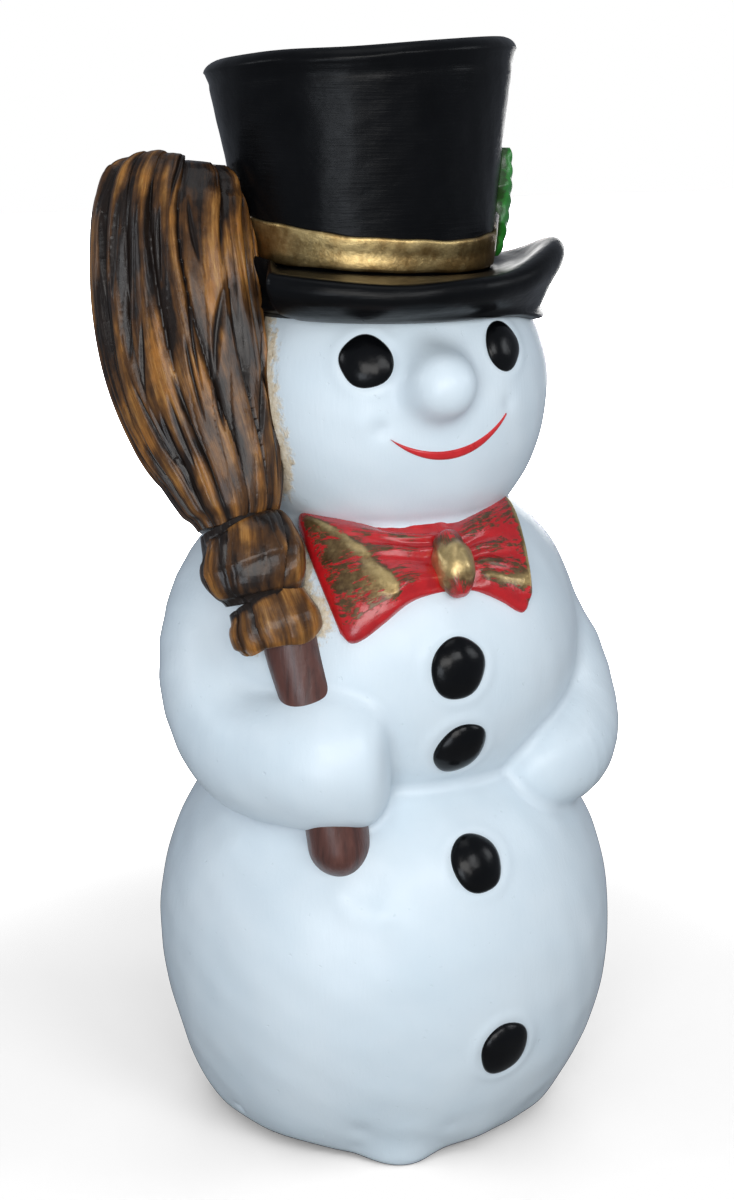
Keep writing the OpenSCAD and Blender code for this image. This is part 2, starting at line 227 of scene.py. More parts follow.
RIGHT_ARM = spline([
    (-66, 12, 366, 18), (-79, 10, 350, 31), (-91, 6, 324, 38), (-98, -6, 292, 41.5), (-97, -27, 265, 42),
    (-89, -50, 255, 42.5), (-76, -69, 256, 43.5), (-64, -81, 257.5, 44), (-54, -86, 258, 43),
], 19)
LEFT_ARM = spline([
    (60, 4, 358, 18), (69, 2, 342, 29), (83, -2, 316, 35), (100, -12, 280, 39.5), (102.5, -33, 251, 38.5),
    (96, -50, 240, 36), (85, -62, 235, 33.5), (74, -70, 233, 29),
], 17)
# Directions towards the viewer, to the viewer's right and up. The fist and the broom are square to them.
TURN = radians(-21)
TOWARD = np.array([sin(TURN), -cos(TURN), 0])
SIDE = np.array([cos(TURN), sin(TURN), 0])
UPWARD = np.array([0, 0, 1.0])
ACROSS = np.array([1.0, 0, 0])
FIST_END = 6
NOSE = polar(-1.6, 103, 471.5)
NOSE_R = 19


def right_arm(p):
    """The right arm, whose fist ends bluntly beside the buttons."""
    return blend_max(limb(p, RIGHT_ARM), p @ SIDE - FIST_END, 16)


def left_arm(p):
    """The left arm, whose rounded hand rests on the belly."""
    return limb(p, LEFT_ARM)


def nose(p):
    """The round nose."""
    return ellipsoid(p, NOSE, (NOSE_R, NOSE_R + 1, NOSE_R - 0.5))


# Soft dents and swellings of the skin: centre, reach and depth in (-) or out (+)
LUMPS = [
    (polar(-23, 128, 186), 16, -1.5), (polar(-32, 129, 181), 11, 1.0), (polar(-28, 132, 172), 12, 1.0),
    (polar(-21, 133, 170), 12, 0.9), (polar(-21, 98.5, 446), 8, -1.5), (polar(27, 99, 455), 8, -1.4),
    (polar(-26, 98, 452), 12, 0.7), (polar(-7, 96, 491), 15, 1.1), (polar(8, 96, 489), 12, 0.5),
    (polar(-14, 112, 32), 17, 1.6), (polar(-27, 112, 30), 13, -2.2), (polar(-1, 112, 32), 12, -2.2),
    (polar(-29, 104, 14), 8, -1.2), (polar(-71, 111, 20), 6, -2.0),
]
# The eyes' and buttons' places on the skin and the radii of their rings, found once the skin is defined
SPOTS = []
TOE = polar(-14, 88, 4)
VENT = np.array([0, 141, 120.0])
VENT_R = 13.3


def rim_height(p):
    """The rim's scalloped height all round. It reaches lowest at the toe."""
    a = np.arctan2(p[..., 0], -p[..., 1])
    wave = np.sin(3 * a + 0.8) + 0.6 * np.sin(7 * a + 2.1) + 0.35 * np.sin(13 * a)
    toe = bell(a, radians(-14), 0.33)
    return (6.4 + 1.1 * wave) * (1 - toe) + 0.8 * toe


def balls(p):
    """Distance to the three balls of snow, with the toe at the foot."""
    sway = smooth(p[..., 2], 10, 60) * smooth(p[..., 1], 110, 60)
    q = p.copy()
    q[..., 0] -= 2.4 * sway
    q[..., 1] += 0.9 * sway
    d = blend_min(ball(q, LOWER), ball(p, TORSO), 7)
    d = blend_min(d, ball(p, HEAD, -1.4), 6)
    return blend_min(d, ellipsoid(p, TOE, (27, 24, 54)), 9)


def bare_snow(p):
    """Distance to the balls, arms and nose, smoothly joined."""
    shoulder = smooth(p[..., 2], 300, 360)
    d = blend_min(balls(p), right_arm(p), 6 + 14 * shoulder)
    d = blend_min(d, left_arm(p), 7 + 12 * shoulder)
    return blend_min(d, nose(p), 14)


def unevenness(p):
    """How far the skin stands out from bare_snow: dents, swellings, rings round buttons and a worn rim."""
    out = np.zeros(len(p))
    for centre, reach, rise in LUMPS:
        out += rise * bump(p, centre, reach)
    for place, radius in SPOTS:
        ring = np.linalg.norm(p - place, axis=-1) - radius - 3
        out += 0.8 * bell(ring, 0, 4)
    calm = 1 - bump(p, VENT, 45)
    low = p[:, 2] - rim_height(p)
    out += calm * (0.9 * waves(p, 95, 5) + 0.2 * waves(p, 30, 6))
    out += 0.9 * calm * waves(p * (1, 1, 0.4), 38, 8) * smooth(low, 32, 4)
    return out - 2.2 * np.exp(-np.maximum(low, -4) / 2.5)


def snow(p):
    """Distance to the whole figure of snow."""
    d = bare_snow(p)
    near = np.abs(d) < 14
    if near.any():
        d[near] -= unevenness(p[near])
    return d


def slope(field, p, reach=0.7):
    """The direction and steepness in which field grows at p."""
    g = np.zeros_like(p)
    for i in range(3):
        e = np.zeros(3)
        e[i] = reach
        g[..., i] = (field(p + e) - field(p - e)) / (2 * reach)
    return g


def settle(field, p, rounds=3):
    """p, moved to field's surface."""
    for _ in range(rounds):
        g = slope(field, p)
        p = p - (field(p) / np.maximum((g * g).sum(-1), 0.05))[..., None] * g
    return p


def cast(field, start, direction, rounds=40):
    """Where rays from start first meet field's surface."""
    p = np.array(start, float)
    direction = unit(direction)
    for _ in range(rounds):
        p = p + (field(p) * 0.85)[..., None] * direction
    return p


def surface_net(field, low, high, step):
    """Points and triangles of field's zero surface, on a grid of cells step across."""
    axes = [np.arange(a, b + step, step) for a, b in zip(low, high)]
    n = [len(a) for a in axes]
    value = np.empty(n)
    for i, x in enumerate(axes[0]):
        value[i] = field(np.stack(np.meshgrid([x], axes[1], axes[2], indexing="ij"), -1))[0]
    total = np.zeros([k - 1 for k in n] + [3])
    hits = np.zeros([k - 1 for k in n])
    loops = []
    for axis in range(3):
        u, v = (axis + 1) % 3, (axis + 2) % 3
        a, b = (np.take(value, np.arange(n[axis] - 1) + k, axis) for k in (0, 1))
        edge = np.argwhere((a < 0) != (b < 0))
        edge = edge[((edge[:, [u, v]] > 0) & (edge[:, [u, v]] < [n[u] - 1, n[v] - 1])).all(1)]
        ea, eb = a[tuple(edge.T)], b[tuple(edge.T)]
        point = edge.astype(float)
        point[:, axis] += ea / (ea - eb)
        cells = []
        for du, dv in ((0, 0), (-1, 0), (-1, -1), (0, -1)):
            cell = edge.copy()
            cell[:, [u, v]] += (du, dv)
            np.add.at(total, tuple(cell.T), point)
            np.add.at(hits, tuple(cell.T), 1)
            cells.append(cell)
        cells = np.stack(cells, 1)
        cells[ea > 0] = cells[ea > 0][:, ::-1]
        loops.append(cells)
    loops = np.vstack(loops)
    used = hits > 0
    index = np.full(hits.shape, -1)
    index[used] = np.arange(used.sum())
    verts = np.asarray(low, float) + step * total[used] / hits[used][:, None]
    quads = index[loops[..., 0], loops[..., 1], loops[..., 2]]
    first = np.linalg.norm(verts[quads[:, 0]] - verts[quads[:, 2]], axis=1)
    other = np.linalg.norm(verts[quads[:, 1]] - verts[quads[:, 3]], axis=1)
    turn = first > other
    quads[turn] = np.roll(quads[turn], 1, axis=1)
    return verts, np.vstack([quads[:, [0, 1, 2]], quads[:, [0, 2, 3]]])


def cut(verts, tris, value):
    """Cuts a mesh where value, one per vertex, is zero. Returns points, and the triangles below and above."""
    side = value[tris] >= 0
    count = side.sum(1)
    below, above = [tris[count == 0]], [tris[count == 3]]
    edges, starts = [], []
    for lone_side, wanted in ((True, 1), (False, 2)):
        pick = count == wanted
        t, s = tris[pick], side[pick] == lone_side
        lone = s.argmax(1)
        rows = np.arange(len(t))
        a, b, c = t[rows, lone], t[rows, (lone + 1) % 3], t[rows, (lone + 2) % 3]
        starts.append((a, b, c, lone_side))
        edges += [np.stack([a, b], 1), np.stack([a, c], 1)]
    pairs = np.sort(np.vstack(edges), axis=1)
    unique, place = np.unique(pairs, axis=0, return_inverse=True)
    place = place.reshape(-1)
    va, vb = value[unique[:, 0]], value[unique[:, 1]]
    f = (va / (va - vb))[:, None]
    verts_new = np.vstack([verts, verts[unique[:, 0]] * (1 - f) + verts[unique[:, 1]] * f])
    at = 0
    for a, b, c, lone_side in starts:
        ab = place[at:at + len(a)] + len(verts)
        ac = place[at + len(a):at + 2 * len(a)] + len(verts)
        at += 2 * len(a)
        tip = np.stack([a, ab, ac], 1)
        rest = np.vstack([np.stack([ab, b, c], 1), np.stack([ab, c, ac], 1)])
        (above if lone_side else below).append(tip)
        (below if lone_side else above).append(rest)
    return verts_new, np.vstack(below), np.vstack(above)


def skin_piece(name, verts, tris, normals, marks, material, node):
    """One moulded wall: an outer patch, its inner face and the narrow faces between them."""
    used, tris = np.unique(tris, return_inverse=True)
    tris = tris.reshape(-1, 3)
    outer, n = verts[used], normals[used]
    directed = np.vstack([tris[:, [0, 1]], tris[:, [1, 2]], tris[:, [2, 0]]])
    _, first, counts = np.unique(np.sort(directed, axis=1), axis=0, return_index=True, return_counts=True)
    a, b = directed[first[counts == 1]].T
    k = len(used)
    walls = np.stack([b, a, a + k, b + k], 1)
    both = np.vstack([outer, outer - n * WALL])
    flat = unit(np.cross(both[walls[:, 1]] - both[walls[:, 0]], both[walls[:, 2]] - both[walls[:, 0]]))
    loops = np.vstack([n[tris].reshape(-1, 3), -n[tris[:, ::-1]].reshape(-1, 3), np.repeat(flat, 4, axis=0)])
    faces = tris.tolist() + (tris[:, ::-1] + k).tolist() + walls.tolist()
    marks = {key: np.tile(values[used], 2) for key, values in marks.items()}
    make_piece(name, both, faces, material, node, marks, loops)


# ---- Broom ----
# The broom's stations stand in its own frame, turned by TURN: centre, half width, half depth
STICK_LOW, STICK_HIGH = (-24, -112, 206), (-44, -103, 336)
SKIRT = [(-56.5, -105, 327.5, 25, 19), (-57.5, -105, 331, 26.5, 20), (-60, -104, 337.5, 26.5, 20.5),
         (-62.5, -102.5, 344, 24, 19), (-66, -100, 350, 21.5, 18)]
BULGE = [(-66, -100, 348.5, 21, 17.5), (-67, -98.5, 354, 25, 20), (-69, -97, 362, 29, 23.5),
         (-71.5, -94, 370, 30.5, 25), (-75, -91, 379, 28, 23.5), (-79, -87, 385, 24, 20),
         (-82, -85, 391, 21.5, 18.5)]
STRAW = [(-82, -85, 388, 21.5, 18.5), (-84, -81, 399, 29, 24), (-90, -75, 419, 36, 28),
         (-99, -68, 443, 43, 31), (-108, -60, 476, 48, 32), (-114, -52, 511, 49, 32),
         (-117, -44, 545, 47, 30), (-116, -37, 568, 44.5, 25.5), (-114, -33.5, 581, 39.5, 19.5),
         (-113, -31.5, 587, 30, 12)]
STICK_R = 18
GRAIN_R = 26


def from_broom(p):
    """Points of the broom's frame, in the figure's."""
    return p[..., :1] * SIDE - p[..., 1:2] * TOWARD + p[..., 2:] * UPWARD


# The hat's measures, which the broom keeps clear of
HAT_X = -9
FOOT_Z = 530
FOOT_R, TOP_R = 72, 89.5
LEAN = radians(1.9)
TOP_Z = 648
TOP_SLOPE = tan(radians(4.6))
TOP_RISE, TOP_FALL = 4.5, 0.05
CROWN_H = TOP_Z - FOOT_Z
BAND_H = 24
BRIM_R = 116
BRIM_REST_Z = 502.4
# Below these heights nothing has to stay clear of the hat, and above this one nothing of the snow
HAT_CLEAR_Z, HAT_FULL_Z, SNOW_TOP_Z = 486, 498, 552


def crown_axis_x(z):
    """The crown leans to the figure's right as it rises."""
    return HAT_X - tan(LEAN) * (z - FOOT_Z)


def near_angle(a, at, reach):
    """1 at the angle at, in degrees, falling smoothly to 0 over reach. a is in radians."""
    return bell((np.degrees(a) - at + 180) % 360 - 180, 0, reach)


def foot_lift(a):
    """How far the hat's foot stands above FOOT_Z: the hat is pushed down over the figure's left eye."""
    return -1.2 - 3.8 * np.sin(a - TURN)


def crown_r(z):
    """The crown flares upwards, and is a little waisted."""
    t = np.clip((z - FOOT_Z) / CROWN_H, -0.3, 1.1)
    return FOOT_R + (TOP_R - FOOT_R) * t - 1.3 * np.sin(pi * np.clip(t, 0, 1))


def clear_of_hat(p):
    """Points pushed out of the room that the hat's crown and band take up."""
    z = p[:, 2]
    room = crown_r(z) + 3.4
    x, y = p[:, 0] - crown_axis_x(z), p[:, 1]
    r = np.hypot(x, y)
    out = np.where((z > HAT_CLEAR_Z) & (r < room), room / np.maximum(r, 1), 1)
    out = 1 + (out - 1) * smooth(z, HAT_CLEAR_Z, HAT_FULL_Z)
    return np.stack([p[:, 0] + x * (out - 1), y * out, z], 1)


def clear_of_snow(p, gap=0.4):
    """Points pushed out of the snow along its slope."""
    for _ in range(4):
        d = np.full(len(p), FAR)
        low = p[:, 2] < SNOW_TOP_Z
        d[low] = bare_snow(p[low])
        bad = d < gap
        if not bad.any():
            break
        q = p[bad]
        g = slope(bare_snow, q, 1.5)
        p[bad] = q + np.clip(gap - d[bad], 0, 9)[:, None] * g / np.maximum((g * g).sum(-1), 0.2)[:, None]
    return p


def locks(around, along, count, seed):
    """Ridges of straw, 1 on a lock's back and 0 in a furrow, with each lock's number and the place across it.

    around runs from 0 to 1 and along is in mm.
    """
    rng = np.random.default_rng(seed)
    a = around * tau
    drift = 0
    for k in (1, 2, 3, 5):
        drift = drift + (rng.uniform(0.25, 0.5) / k
                         * np.sin(k * a + rng.uniform(0, 6.3) + along / rng.uniform(38, 90)))
    q = around * count + drift * count / 12
    lane = np.floor(q) % count
    f = q - np.floor(q)
    split = 0.5 + 0.3 * np.sin(lane * 12.9898 + seed)
    f = np.where(f < split, f / split * 0.5, 0.5 + (f - split) / (1 - split) * 0.5)
    depth = 0.58 + 0.42 * np.sin(lane * 78.233 + along / (26 + 10 * np.sin(lane * 3.7)) + seed)
    back = 0.55 * np.sin(pi * f) ** 0.5 + 0.45 * np.sin(pi * f) ** 2
    return 1 - depth * (1 - back), lane, q


def slits(around, along, end, count, seed):
    """Short slanting cuts between the straws: 1 at the bottom of a cut."""
    rng = np.random.default_rng(seed)
    total = np.zeros_like(around)
    for _ in range(count):
        middle, length = rng.uniform(0.08, 0.95) * end, rng.uniform(14, 36)
        lean, width = rng.uniform(-0.0006, 0.0006), rng.uniform(0.0030, 0.0060)
        off = (around - rng.uniform(0, 1) - lean * (along - middle) + 0.5) % 1 - 0.5
        taper = np.clip(1 - ((along - middle) / length) ** 2, 0, 1)
        total = np.maximum(total, bell(off, 0, width * (0.3 + 0.7 * taper)) * taper)
    return total


def straw_piece(name, stations, rows, columns, shape, material, node):
    """A part of the broom, lofted along its stations. shape gives its relief and its marks."""
    s = spline(stations, rows)
    t = unit(np.gradient(s[:, :3], axis=0))
    w = unit(ACROSS - t * (t @ ACROSS)[:, None])
    v = np.cross(t, w)
    a = turns(columns)
    along = np.concatenate([[0], np.cumsum(np.linalg.norm(np.diff(s[:, :3], axis=0), axis=1))])
    A, L = np.meshgrid(a / tau, along)
    relief, furrow, lift, q = shape(A, L, along[-1])
    # Sections bulge a little past an ellipse
    c, n = np.cos(a), np.sin(a)
    fat = (np.abs(c) ** 2.15 + np.abs(n) ** 2.15) ** (-1 / 2.15)
    rx = s[:, 3:4] * (c * fat)[None] + relief * c[None]
    ry = s[:, 4:5] * (n * fat)[None] + relief * n[None]
    rings = (s[:, None, :3] + rx[..., None] * w[:, None] + ry[..., None] * v[:, None]
             + lift[..., None] * t[:, None])
    verts, faces = closed_rings(rings)
    verts = clear_of_hat(clear_of_snow(from_broom(verts)))
    grain = tau * q / GRAIN_R
    marks = {"furrow": with_ends(furrow, (1, 1)), "grain_x": with_ends(np.cos(grain) * GRAIN_R),
             "grain_y": with_ends(np.sin(grain) * GRAIN_R), "along": with_ends(L, (0, along[-1]))}
    return make_piece(name, verts, faces, material, node, marks)


# Each shape takes the place around, from 0 to 1, the place along and the whole length. It gives the relief
# in mm, the depth of the dark glaze, the lift along the broom in mm, and the place across the locks.
def straw_shape(A, L, end):
    """The long bristles: broad wandering locks, fine ones on them, and a ragged top."""
    a = tau * A
    uneven = A + 0.012 * np.sin(3 * a + 0.7) + 0.009 * np.sin(5 * a + L / 70)
    broad, lane, q = locks(uneven, L, 15, 3)
    fine, _, _ = locks(uneven, L, 37, 11)
    swell = smooth(L, 0, 45)
    slit = slits(uneven, L, end, 60, 9)
    relief = (broad - 0.97) * (2.4 + 3.4 * swell) + (fine - 0.6) * (0.3 + 0.4 * swell) - 2.0 * slit
    furrow = np.clip(1 - broad * (0.72 + 0.28 * fine) + 0.8 * slit, 0, 1.3)
    ragged = 3 * np.cos(a) + 1.6 * np.sin(3 * a + 1) + 2.0 * np.sin(lane * 7.1) - 2.4 * (1 - broad) - 0.2
    return relief, furrow, 0.8 * smooth(L, end - 40, end) * ragged, q


def bulge_shape(A, L, end):
    """The gathered knot of straw: upright folds, deepest at its necks, and a crease across its lower third."""
    broad, _, q = locks(A + 0.014 * np.sin(L / 9), L, 7, 21)
    fine, _, _ = locks(A, L, 23, 5)
    crease = np.maximum(bell(L, end * 0.36 + 1.5 * np.sin(A * 17), 2.4) * (0.4 + 0.6 * np.sin(A * 9 + 1)), 0)
    relief = (broad - 0.76) * 5.2 * np.sin(pi * np.clip(L / end, 0.12, 0.9)) + (fine - 0.6) * 0.45
    neck = 0.7 * smooth(L, 9, 0) + 0.7 * smooth(L, end - 8, end)
    furrow = 0.14 + 0.75 * (1 - broad * (0.75 + 0.25 * fine)) + 0.1 * crease + neck
    return relief - 0.4 * crease, furrow, np.zeros_like(A), q


def skirt_shape(A, L, end):
    """The skirt below the gathered straw: a pleated cuff with a flat, uneven hem."""
    broad, _, q = locks(A, L, 7, 14)
    hem = smooth(L, 3, 0)
    furrow = np.clip(0.7 * (1 - broad) + 0.9 * bell(L, end * 0.95, 2.0) - 0.14, -0.14, 1)
    return (broad - 0.85) * 2.4 - 1.0 * hem, furrow, hem * 1.8 * np.sin(A * tau * 4 + 2), q


def stick(material):
    """The broomstick: a gently bowed rod with a rounded foot and a slightly uneven waist."""
    low, high = np.array(STICK_LOW, float), np.array(STICK_HIGH, float)
    t = unit(high - low)
    w = unit(np.cross([0, 1, 0], t))
    v = np.cross(t, w)
    length = np.linalg.norm(high - low)
    a = turns(96)
    # Distance along the stick, and radius
    rings = [(-STICK_R * cos(k), STICK_R * sin(k)) for k in np.linspace(0.08, 1, 12) * pi / 2]
    rings += [(k * length, STICK_R - 2.5 * k) for k in np.linspace(0, 1, 60)[1:]]
    points = []
    for h, r in rings:
        r = r + 0.35 * sin(h / 14) * min(1, r / 15)
        flat = r + 0.5 * np.sin(3 * a + h / 30) * min(1, r / 15)
        centre = low + t * h - 9 * ACROSS * float(smooth(h / length, 0.4, 1.05))
        points.append(centre + flat[:, None] * (np.cos(a)[:, None] * w + np.sin(a)[:, None] * v))
    verts, faces = closed_rings(points)
    marks = {"along": with_ends(np.repeat([h for h, _ in rings], len(a)), (0, length))}
    return make_piece("broomstick", from_broom(verts), faces, material, "broom_stick", marks)


# ---- Hat ----
def crown(material):
    """The crown: a hollow, flaring and slightly crooked drum with a rounded rim."""
    a = turns(192)
    # Radius, height from 0 at the foot to 1 at the top, and what is added where the radius is the wall's own
    inside = 1 - WALL / CROWN_H
    profile = [(0.25, inside, 0), (TOP_R - 12, inside, 0), (TOP_R - 5, 0.95, 0)]
    profile += [(None, t, -WALL) for t in np.linspace(0.93, 0, 20)]
    profile += [(None, t, 0.4 * bell(t, 0.95, 0.03) - 0.5 * bell(t, 0.885, 0.022))
                for t in np.linspace(0, 0.934, 70)]
    profile += [(TOP_R - 8 * (1 - cos(k)), 1 - 0.066 * (1 - sin(k)), 0)
                for k in np.linspace(0.12, 1, 10) * pi / 2]
    profile += [(TOP_R * k, 1 - 0.012 * (1 - k), 0) for k in (0.93, 0.86, 0.7, 0.5, 0.3, 0.12, 0.02)]
    rings = []
    for r, t, off in profile:
        z_mid = FOOT_Z + 0.3 + t * CROWN_H
        radius = (crown_r(z_mid) + off) if r is None else r
        x = crown_axis_x(z_mid) + radius * np.sin(a)
        y = -radius * np.cos(a)
        side = (x - HAT_X) * SIDE[0] + y * SIDE[1]
        depth = (x - HAT_X) * TOWARD[0] + y * TOWARD[1]
        z = FOOT_Z + 0.3 + t * (CROWN_H + TOP_RISE + TOP_SLOPE * side - TOP_FALL * (TOP_R - depth))
        rings.append(np.stack([x, y, z + foot_lift(a) * (1 - t) ** 2], 1))
    verts, faces = closed_rings(rings)
    wobble = 0.7 * waves(verts, 80, 31) + 0.15 * waves(verts, 18, 32)
    out = unit(verts * (1, 1, 0) - HAT_X * ACROSS)
    verts = verts + out * (wobble * smooth(verts[:, 2], FOOT_Z + 6, FOOT_Z + 30))[:, None]
    verts[:, 2] += 0.8 * waves(verts, 70, 33) * smooth(verts[:, 2], 618, 640)
    reach = np.hypot(verts[:, 0] - crown_axis_x(TOP_Z), verts[:, 1])
    dusty = smooth(verts[:, 2], 636, 640) * smooth(reach, TOP_R - 3, TOP_R - 12)
    return make_piece("hat_crown_shell", verts, faces, material, "hat_crown", {"dusty": dusty})


def brim_lift(a):
    """How far the lip stands up. It curls highest at the figure's left, and droops behind that."""
    return -1 - 5 * np.cos(2 * a) + 6 * near_angle(a, 66, 26) - 13 * near_angle(a, 120, 30)


def brim_out(a):
    """The brim's radius. It ends bluntly where the broom leans on the hat, and starts again behind it."""
    full = BRIM_R - 3 * (1 + np.cos(2 * a))
    turn = (degrees(a) + 180) % 360 - 180
    if turn > -20 or turn < -134:
        return full
    across = sin(a) * SIDE[0] - cos(a) * SIDE[1]
    cut_off = max(84.0, 54.5 / max(-across, 0.05))
    return min(full, cut_off) if turn > -112 else 84 + (full - 84) * float(smooth(-turn, 112, 132))


def head_r(z):
    """The radius of the head at a height."""
    up = np.where(np.asarray(z) > HEAD[0], HEAD[2], HEAD[3])
    return HEAD[1] * np.sqrt(1 - ((z - HEAD[0]) / up) ** 2)


def brim(material):
    """The brim: thick, drooping at the front and back, curled up at the sides, with a rolled lip."""
    sections = []
    for a in turns(240):
        lift = brim_lift(a) + 0.5 * sin(5 * a + 1) + 0.4 * sin(9 * a)
        r = brim_out(a) + 0.5 * sin(4 * a + 2)
        foot = FOOT_Z + foot_lift(a)
        low = BRIM_REST_Z - 8 * near_angle(a, 68, 24)
        # How wide the lip's roll is, which is less where the brim ends bluntly
        w = min(1.0, max(0.3, (r - 72) / 41))
        flat = [(74 + (r - 13 * w - 74) * k, foot + (FOOT_Z - foot) * k + 0.6 * lift * k * k)
                for k in (0, 0.33, 0.67)]
        rest = max(r - 19 * w, head_r(low + 1.9) + 0.3)
        lip = spline(flat + [
            (r - 13 * w, 531.6 + 0.8 * lift), (r - 6 * w, 533 + lift), (r - 1.6 * w, 531.3 + lift),
            (r, 526.5 + lift), (r - 1.5 * w, 521 + 0.8 * lift), (r - 6 * w, 515 + 0.5 * lift),
            (max(r - 14 * w, rest + 2), low + 6 + 0.2 * lift), (rest, low + 1.9),
            (head_r(low) + 0.2, low)], 44)
        inner = np.array([(head_r(z) + 0.5, z) for z in np.linspace(low + 5, foot, 5)])
        s = np.vstack([lip, inner])
        shift = HAT_X * np.clip((s[:, 0] - 62) / 20, 0, 1) * smooth(s[:, 1], low + 0.6, low + 6.6)
        sections.append(np.stack([s[:, 0] * sin(a) + shift, -s[:, 0] * cos(a), s[:, 1]], 1))
    verts, faces = torus_rings(sections)
    far = smooth(np.hypot(verts[:, 0] - HAT_X, verts[:, 1]), 84, 100)
    verts = verts + unit(verts - np.array([HAT_X, 0, 522])) * (far * (0.5 * waves(verts, 42, 41)))[:, None]
    return make_piece("hat_brim_roll", verts, faces, material, "hat_brim")


def band(material):
    """The gold band: a thin ring round the crown's foot, with soft, uneven edges."""
    sections = []
    for a in turns(300):
        low = FOOT_Z + 1.2 + foot_lift(a) + 0.4 * sin(11 * a) * sin(3 * a + 1)
        dip = 0.5 + 4.5 * cos(a - TURN) + 7 * sin(a - TURN)
        high = FOOT_Z + BAND_H + 0.5 - dip + 0.4 * sin(7 * a + 2) + 0.25 * sin(17 * a)
        puff = 0.25 * sin(6 * a + 1)
        # Height, and how far it stands out from the crown
        rows = [(low, 0.3), (low + 0.1, 1.7), (low + 0.8, 2.3)]
        for k in np.linspace(0, 1, 9):
            hump = sin(pi * k)
            rows.append((low + 2 + (high - low - 4) * k, 2.45 + puff * hump - 0.5 * hump ** 4))
        rows += [(high - 0.8, 2.3), (high - 0.1, 1.6), (high, 0.3)]
        z, proud = np.array(rows).T
        r = crown_r(z) + proud
        sections.append(np.stack([crown_axis_x(z) + r * sin(a), -r * cos(a), z], 1))
    verts, faces = torus_rings(sections)
    a = np.arctan2(verts[:, 0] - HAT_X, -verts[:, 1])
    raw = smooth(a, radians(-74), radians(-80)) * smooth(a, radians(-120), radians(-112))
    # Painted shade and highlight: the gold is browner on the sides turned from the viewer and a little
    # brighter towards the band's top edge.
    turned_away_shade = smooth(np.abs(a - TURN), radians(25), radians(75))
    wear = 0.006 * (verts[:, 2] - FOOT_Z - foot_lift(a) - 8) - 0.17 * turned_away_shade
    marks = {"raw": raw, "wear": wear}
    return make_piece("hat_band_ring", verts, faces, material, "hat_band", marks)


def leaf(material):
    """A holly leaf laid on the crown's left side: scalloped, ribbed, and thick at the middle."""
    rows, columns = 90, 41
    place = 74
    out, across = polar(place, 1, 0), polar(place + 90, 1, 0)
    u = np.linspace(-1, 1, columns)
    off = np.abs(u)
    rings = []
    for s in (np.arange(rows) + 0.6) / rows:
        hump = sin(pi * s)
        z = 529.4 + 63 * s
        x = u * 15 * hump ** 0.6 * (1 - 0.34 * abs(sin(pi * 3 * s)) ** 1.3)
        base = np.sqrt(np.maximum(crown_r(z) ** 2 - x * x, 0)) + 0.4 + crown_axis_x(z) * out[0]
        floor = 2.9 * float(smooth(z, 558, 554))
        veins = 0.6 * np.sin(tau * (s * 7 - off * 0.9)) * (1 - off) * off * 3
        lift = 9.2 * (1 - off ** 2.6) ** 0.6 * (0.55 + 0.45 * hump ** 0.5) - 1.5 * bell(u, 0, 0.1) + veins
        lift += 1.1 * off ** 3
        front = np.outer(base + np.maximum(lift, floor + 0.5), out) + np.outer(x, across) + z * UPWARD
        back = np.outer(base + floor, out) + np.outer(x * 0.97, across) + z * UPWARD
        rings.append(np.vstack([front, back[::-1]]))
    verts, faces = closed_rings(rings)
    edge = with_ends(np.tile(np.append(off, np.ones(columns)), rows), (1, 1))
    return make_piece("holly_leaf", verts, faces, material, "hat_leaf", {"edge": edge})


# ---- Bow tie ----
KNOT = np.array([5, -100, 368.0])
# Up the chest's slope and straight out of it
SLOPE = radians(50)
UP = np.array([0, cos(SLOPE), sin(SLOPE)])
OUT = np.array([0, -sin(SLOPE), cos(SLOPE)])
# Lower and upper edges of each wing from the knot outwards: X, and distance up the chest's slope
WING_RIGHT = ([(2, -14), (-14, -15), (-28, -18), (-43, -26), (-55, -31.5), (-62, -31.5), (-66.5, -25)],
              [(2, 31), (-12, 33), (-28, 38), (-44, 45), (-60, 52), (-68, 54), (-72.5, 46)])
WING_LEFT = ([(-2, -14), (11, -15), (19, -17.5), (30, -22), (38, -26), (43.5, -26), (47, -19)],
             [(-2, 31), (11, 32.5), (24, 38), (36, 44.5), (46, 50), (53, 52), (57, 44)])


def chest(p):
    """Distance to the ball of snow that the bow lies on."""
    return ball(p, TORSO)


def wing(name, edges, swell, relief, material, node):
    """One side of the bow: a puffed wing whose folds gather at the knot, closed behind against the chest."""
    rows, columns = 120, 90
    low, high = spline(edges[0], rows), spline(edges[1], rows)
    s, t = np.linspace(0, 1, rows), np.linspace(0, 1, columns)
    flat = low[:, None] * (1 - t)[None, :, None] + high[:, None] * t[None, :, None]
    flat[..., 0] += np.sign(flat[..., 0]) * (swell * np.sin(pi * t))[None] * (s[:, None] ** 6)
    S, T = np.meshgrid(s, t, indexing="ij")
    start = KNOT + flat[..., :1] * ACROSS + flat[..., 1:2] * UP + 70 * OUT
    ground = cast(chest, start, -OUT)
    normal = unit(slope(chest, ground))
    rim = (1 - np.abs(2 * T - 1) ** 7) ** 0.45 * (1 - S ** 14) ** 0.5
    height, crest = relief(S, T)
    top = ground + normal * (0.4 + np.clip(height, 1.6, 9.2) * rim)[..., None]
    under = ground - normal * 1.2
    verts, faces = closed_rings(np.concatenate([top, under[:, ::-1]], axis=1))
    # The crest mark sets where gold is dragged over the red, and where it is painted brighter as a highlight.
    marks = {"crest": (crest, np.zeros_like(crest)), "reach": (S, S), "fan": (T, T[:, ::-1])}
    marks = {key: with_ends(np.concatenate(sides, axis=1)) for key, sides in marks.items()}
    return make_piece(name, verts, faces, material, node, marks)


def folds(S, T, seed):
    """Creases that fan out from the knot and fade along the wing."""
    q = 5.2 * T + 0.35 * np.sin(5 * S + seed) + 0.3 * np.sin(9 * T + seed)
    return np.sin(2 * pi * q * 0.75 + seed) * smooth(S, 0.95, 0.2)


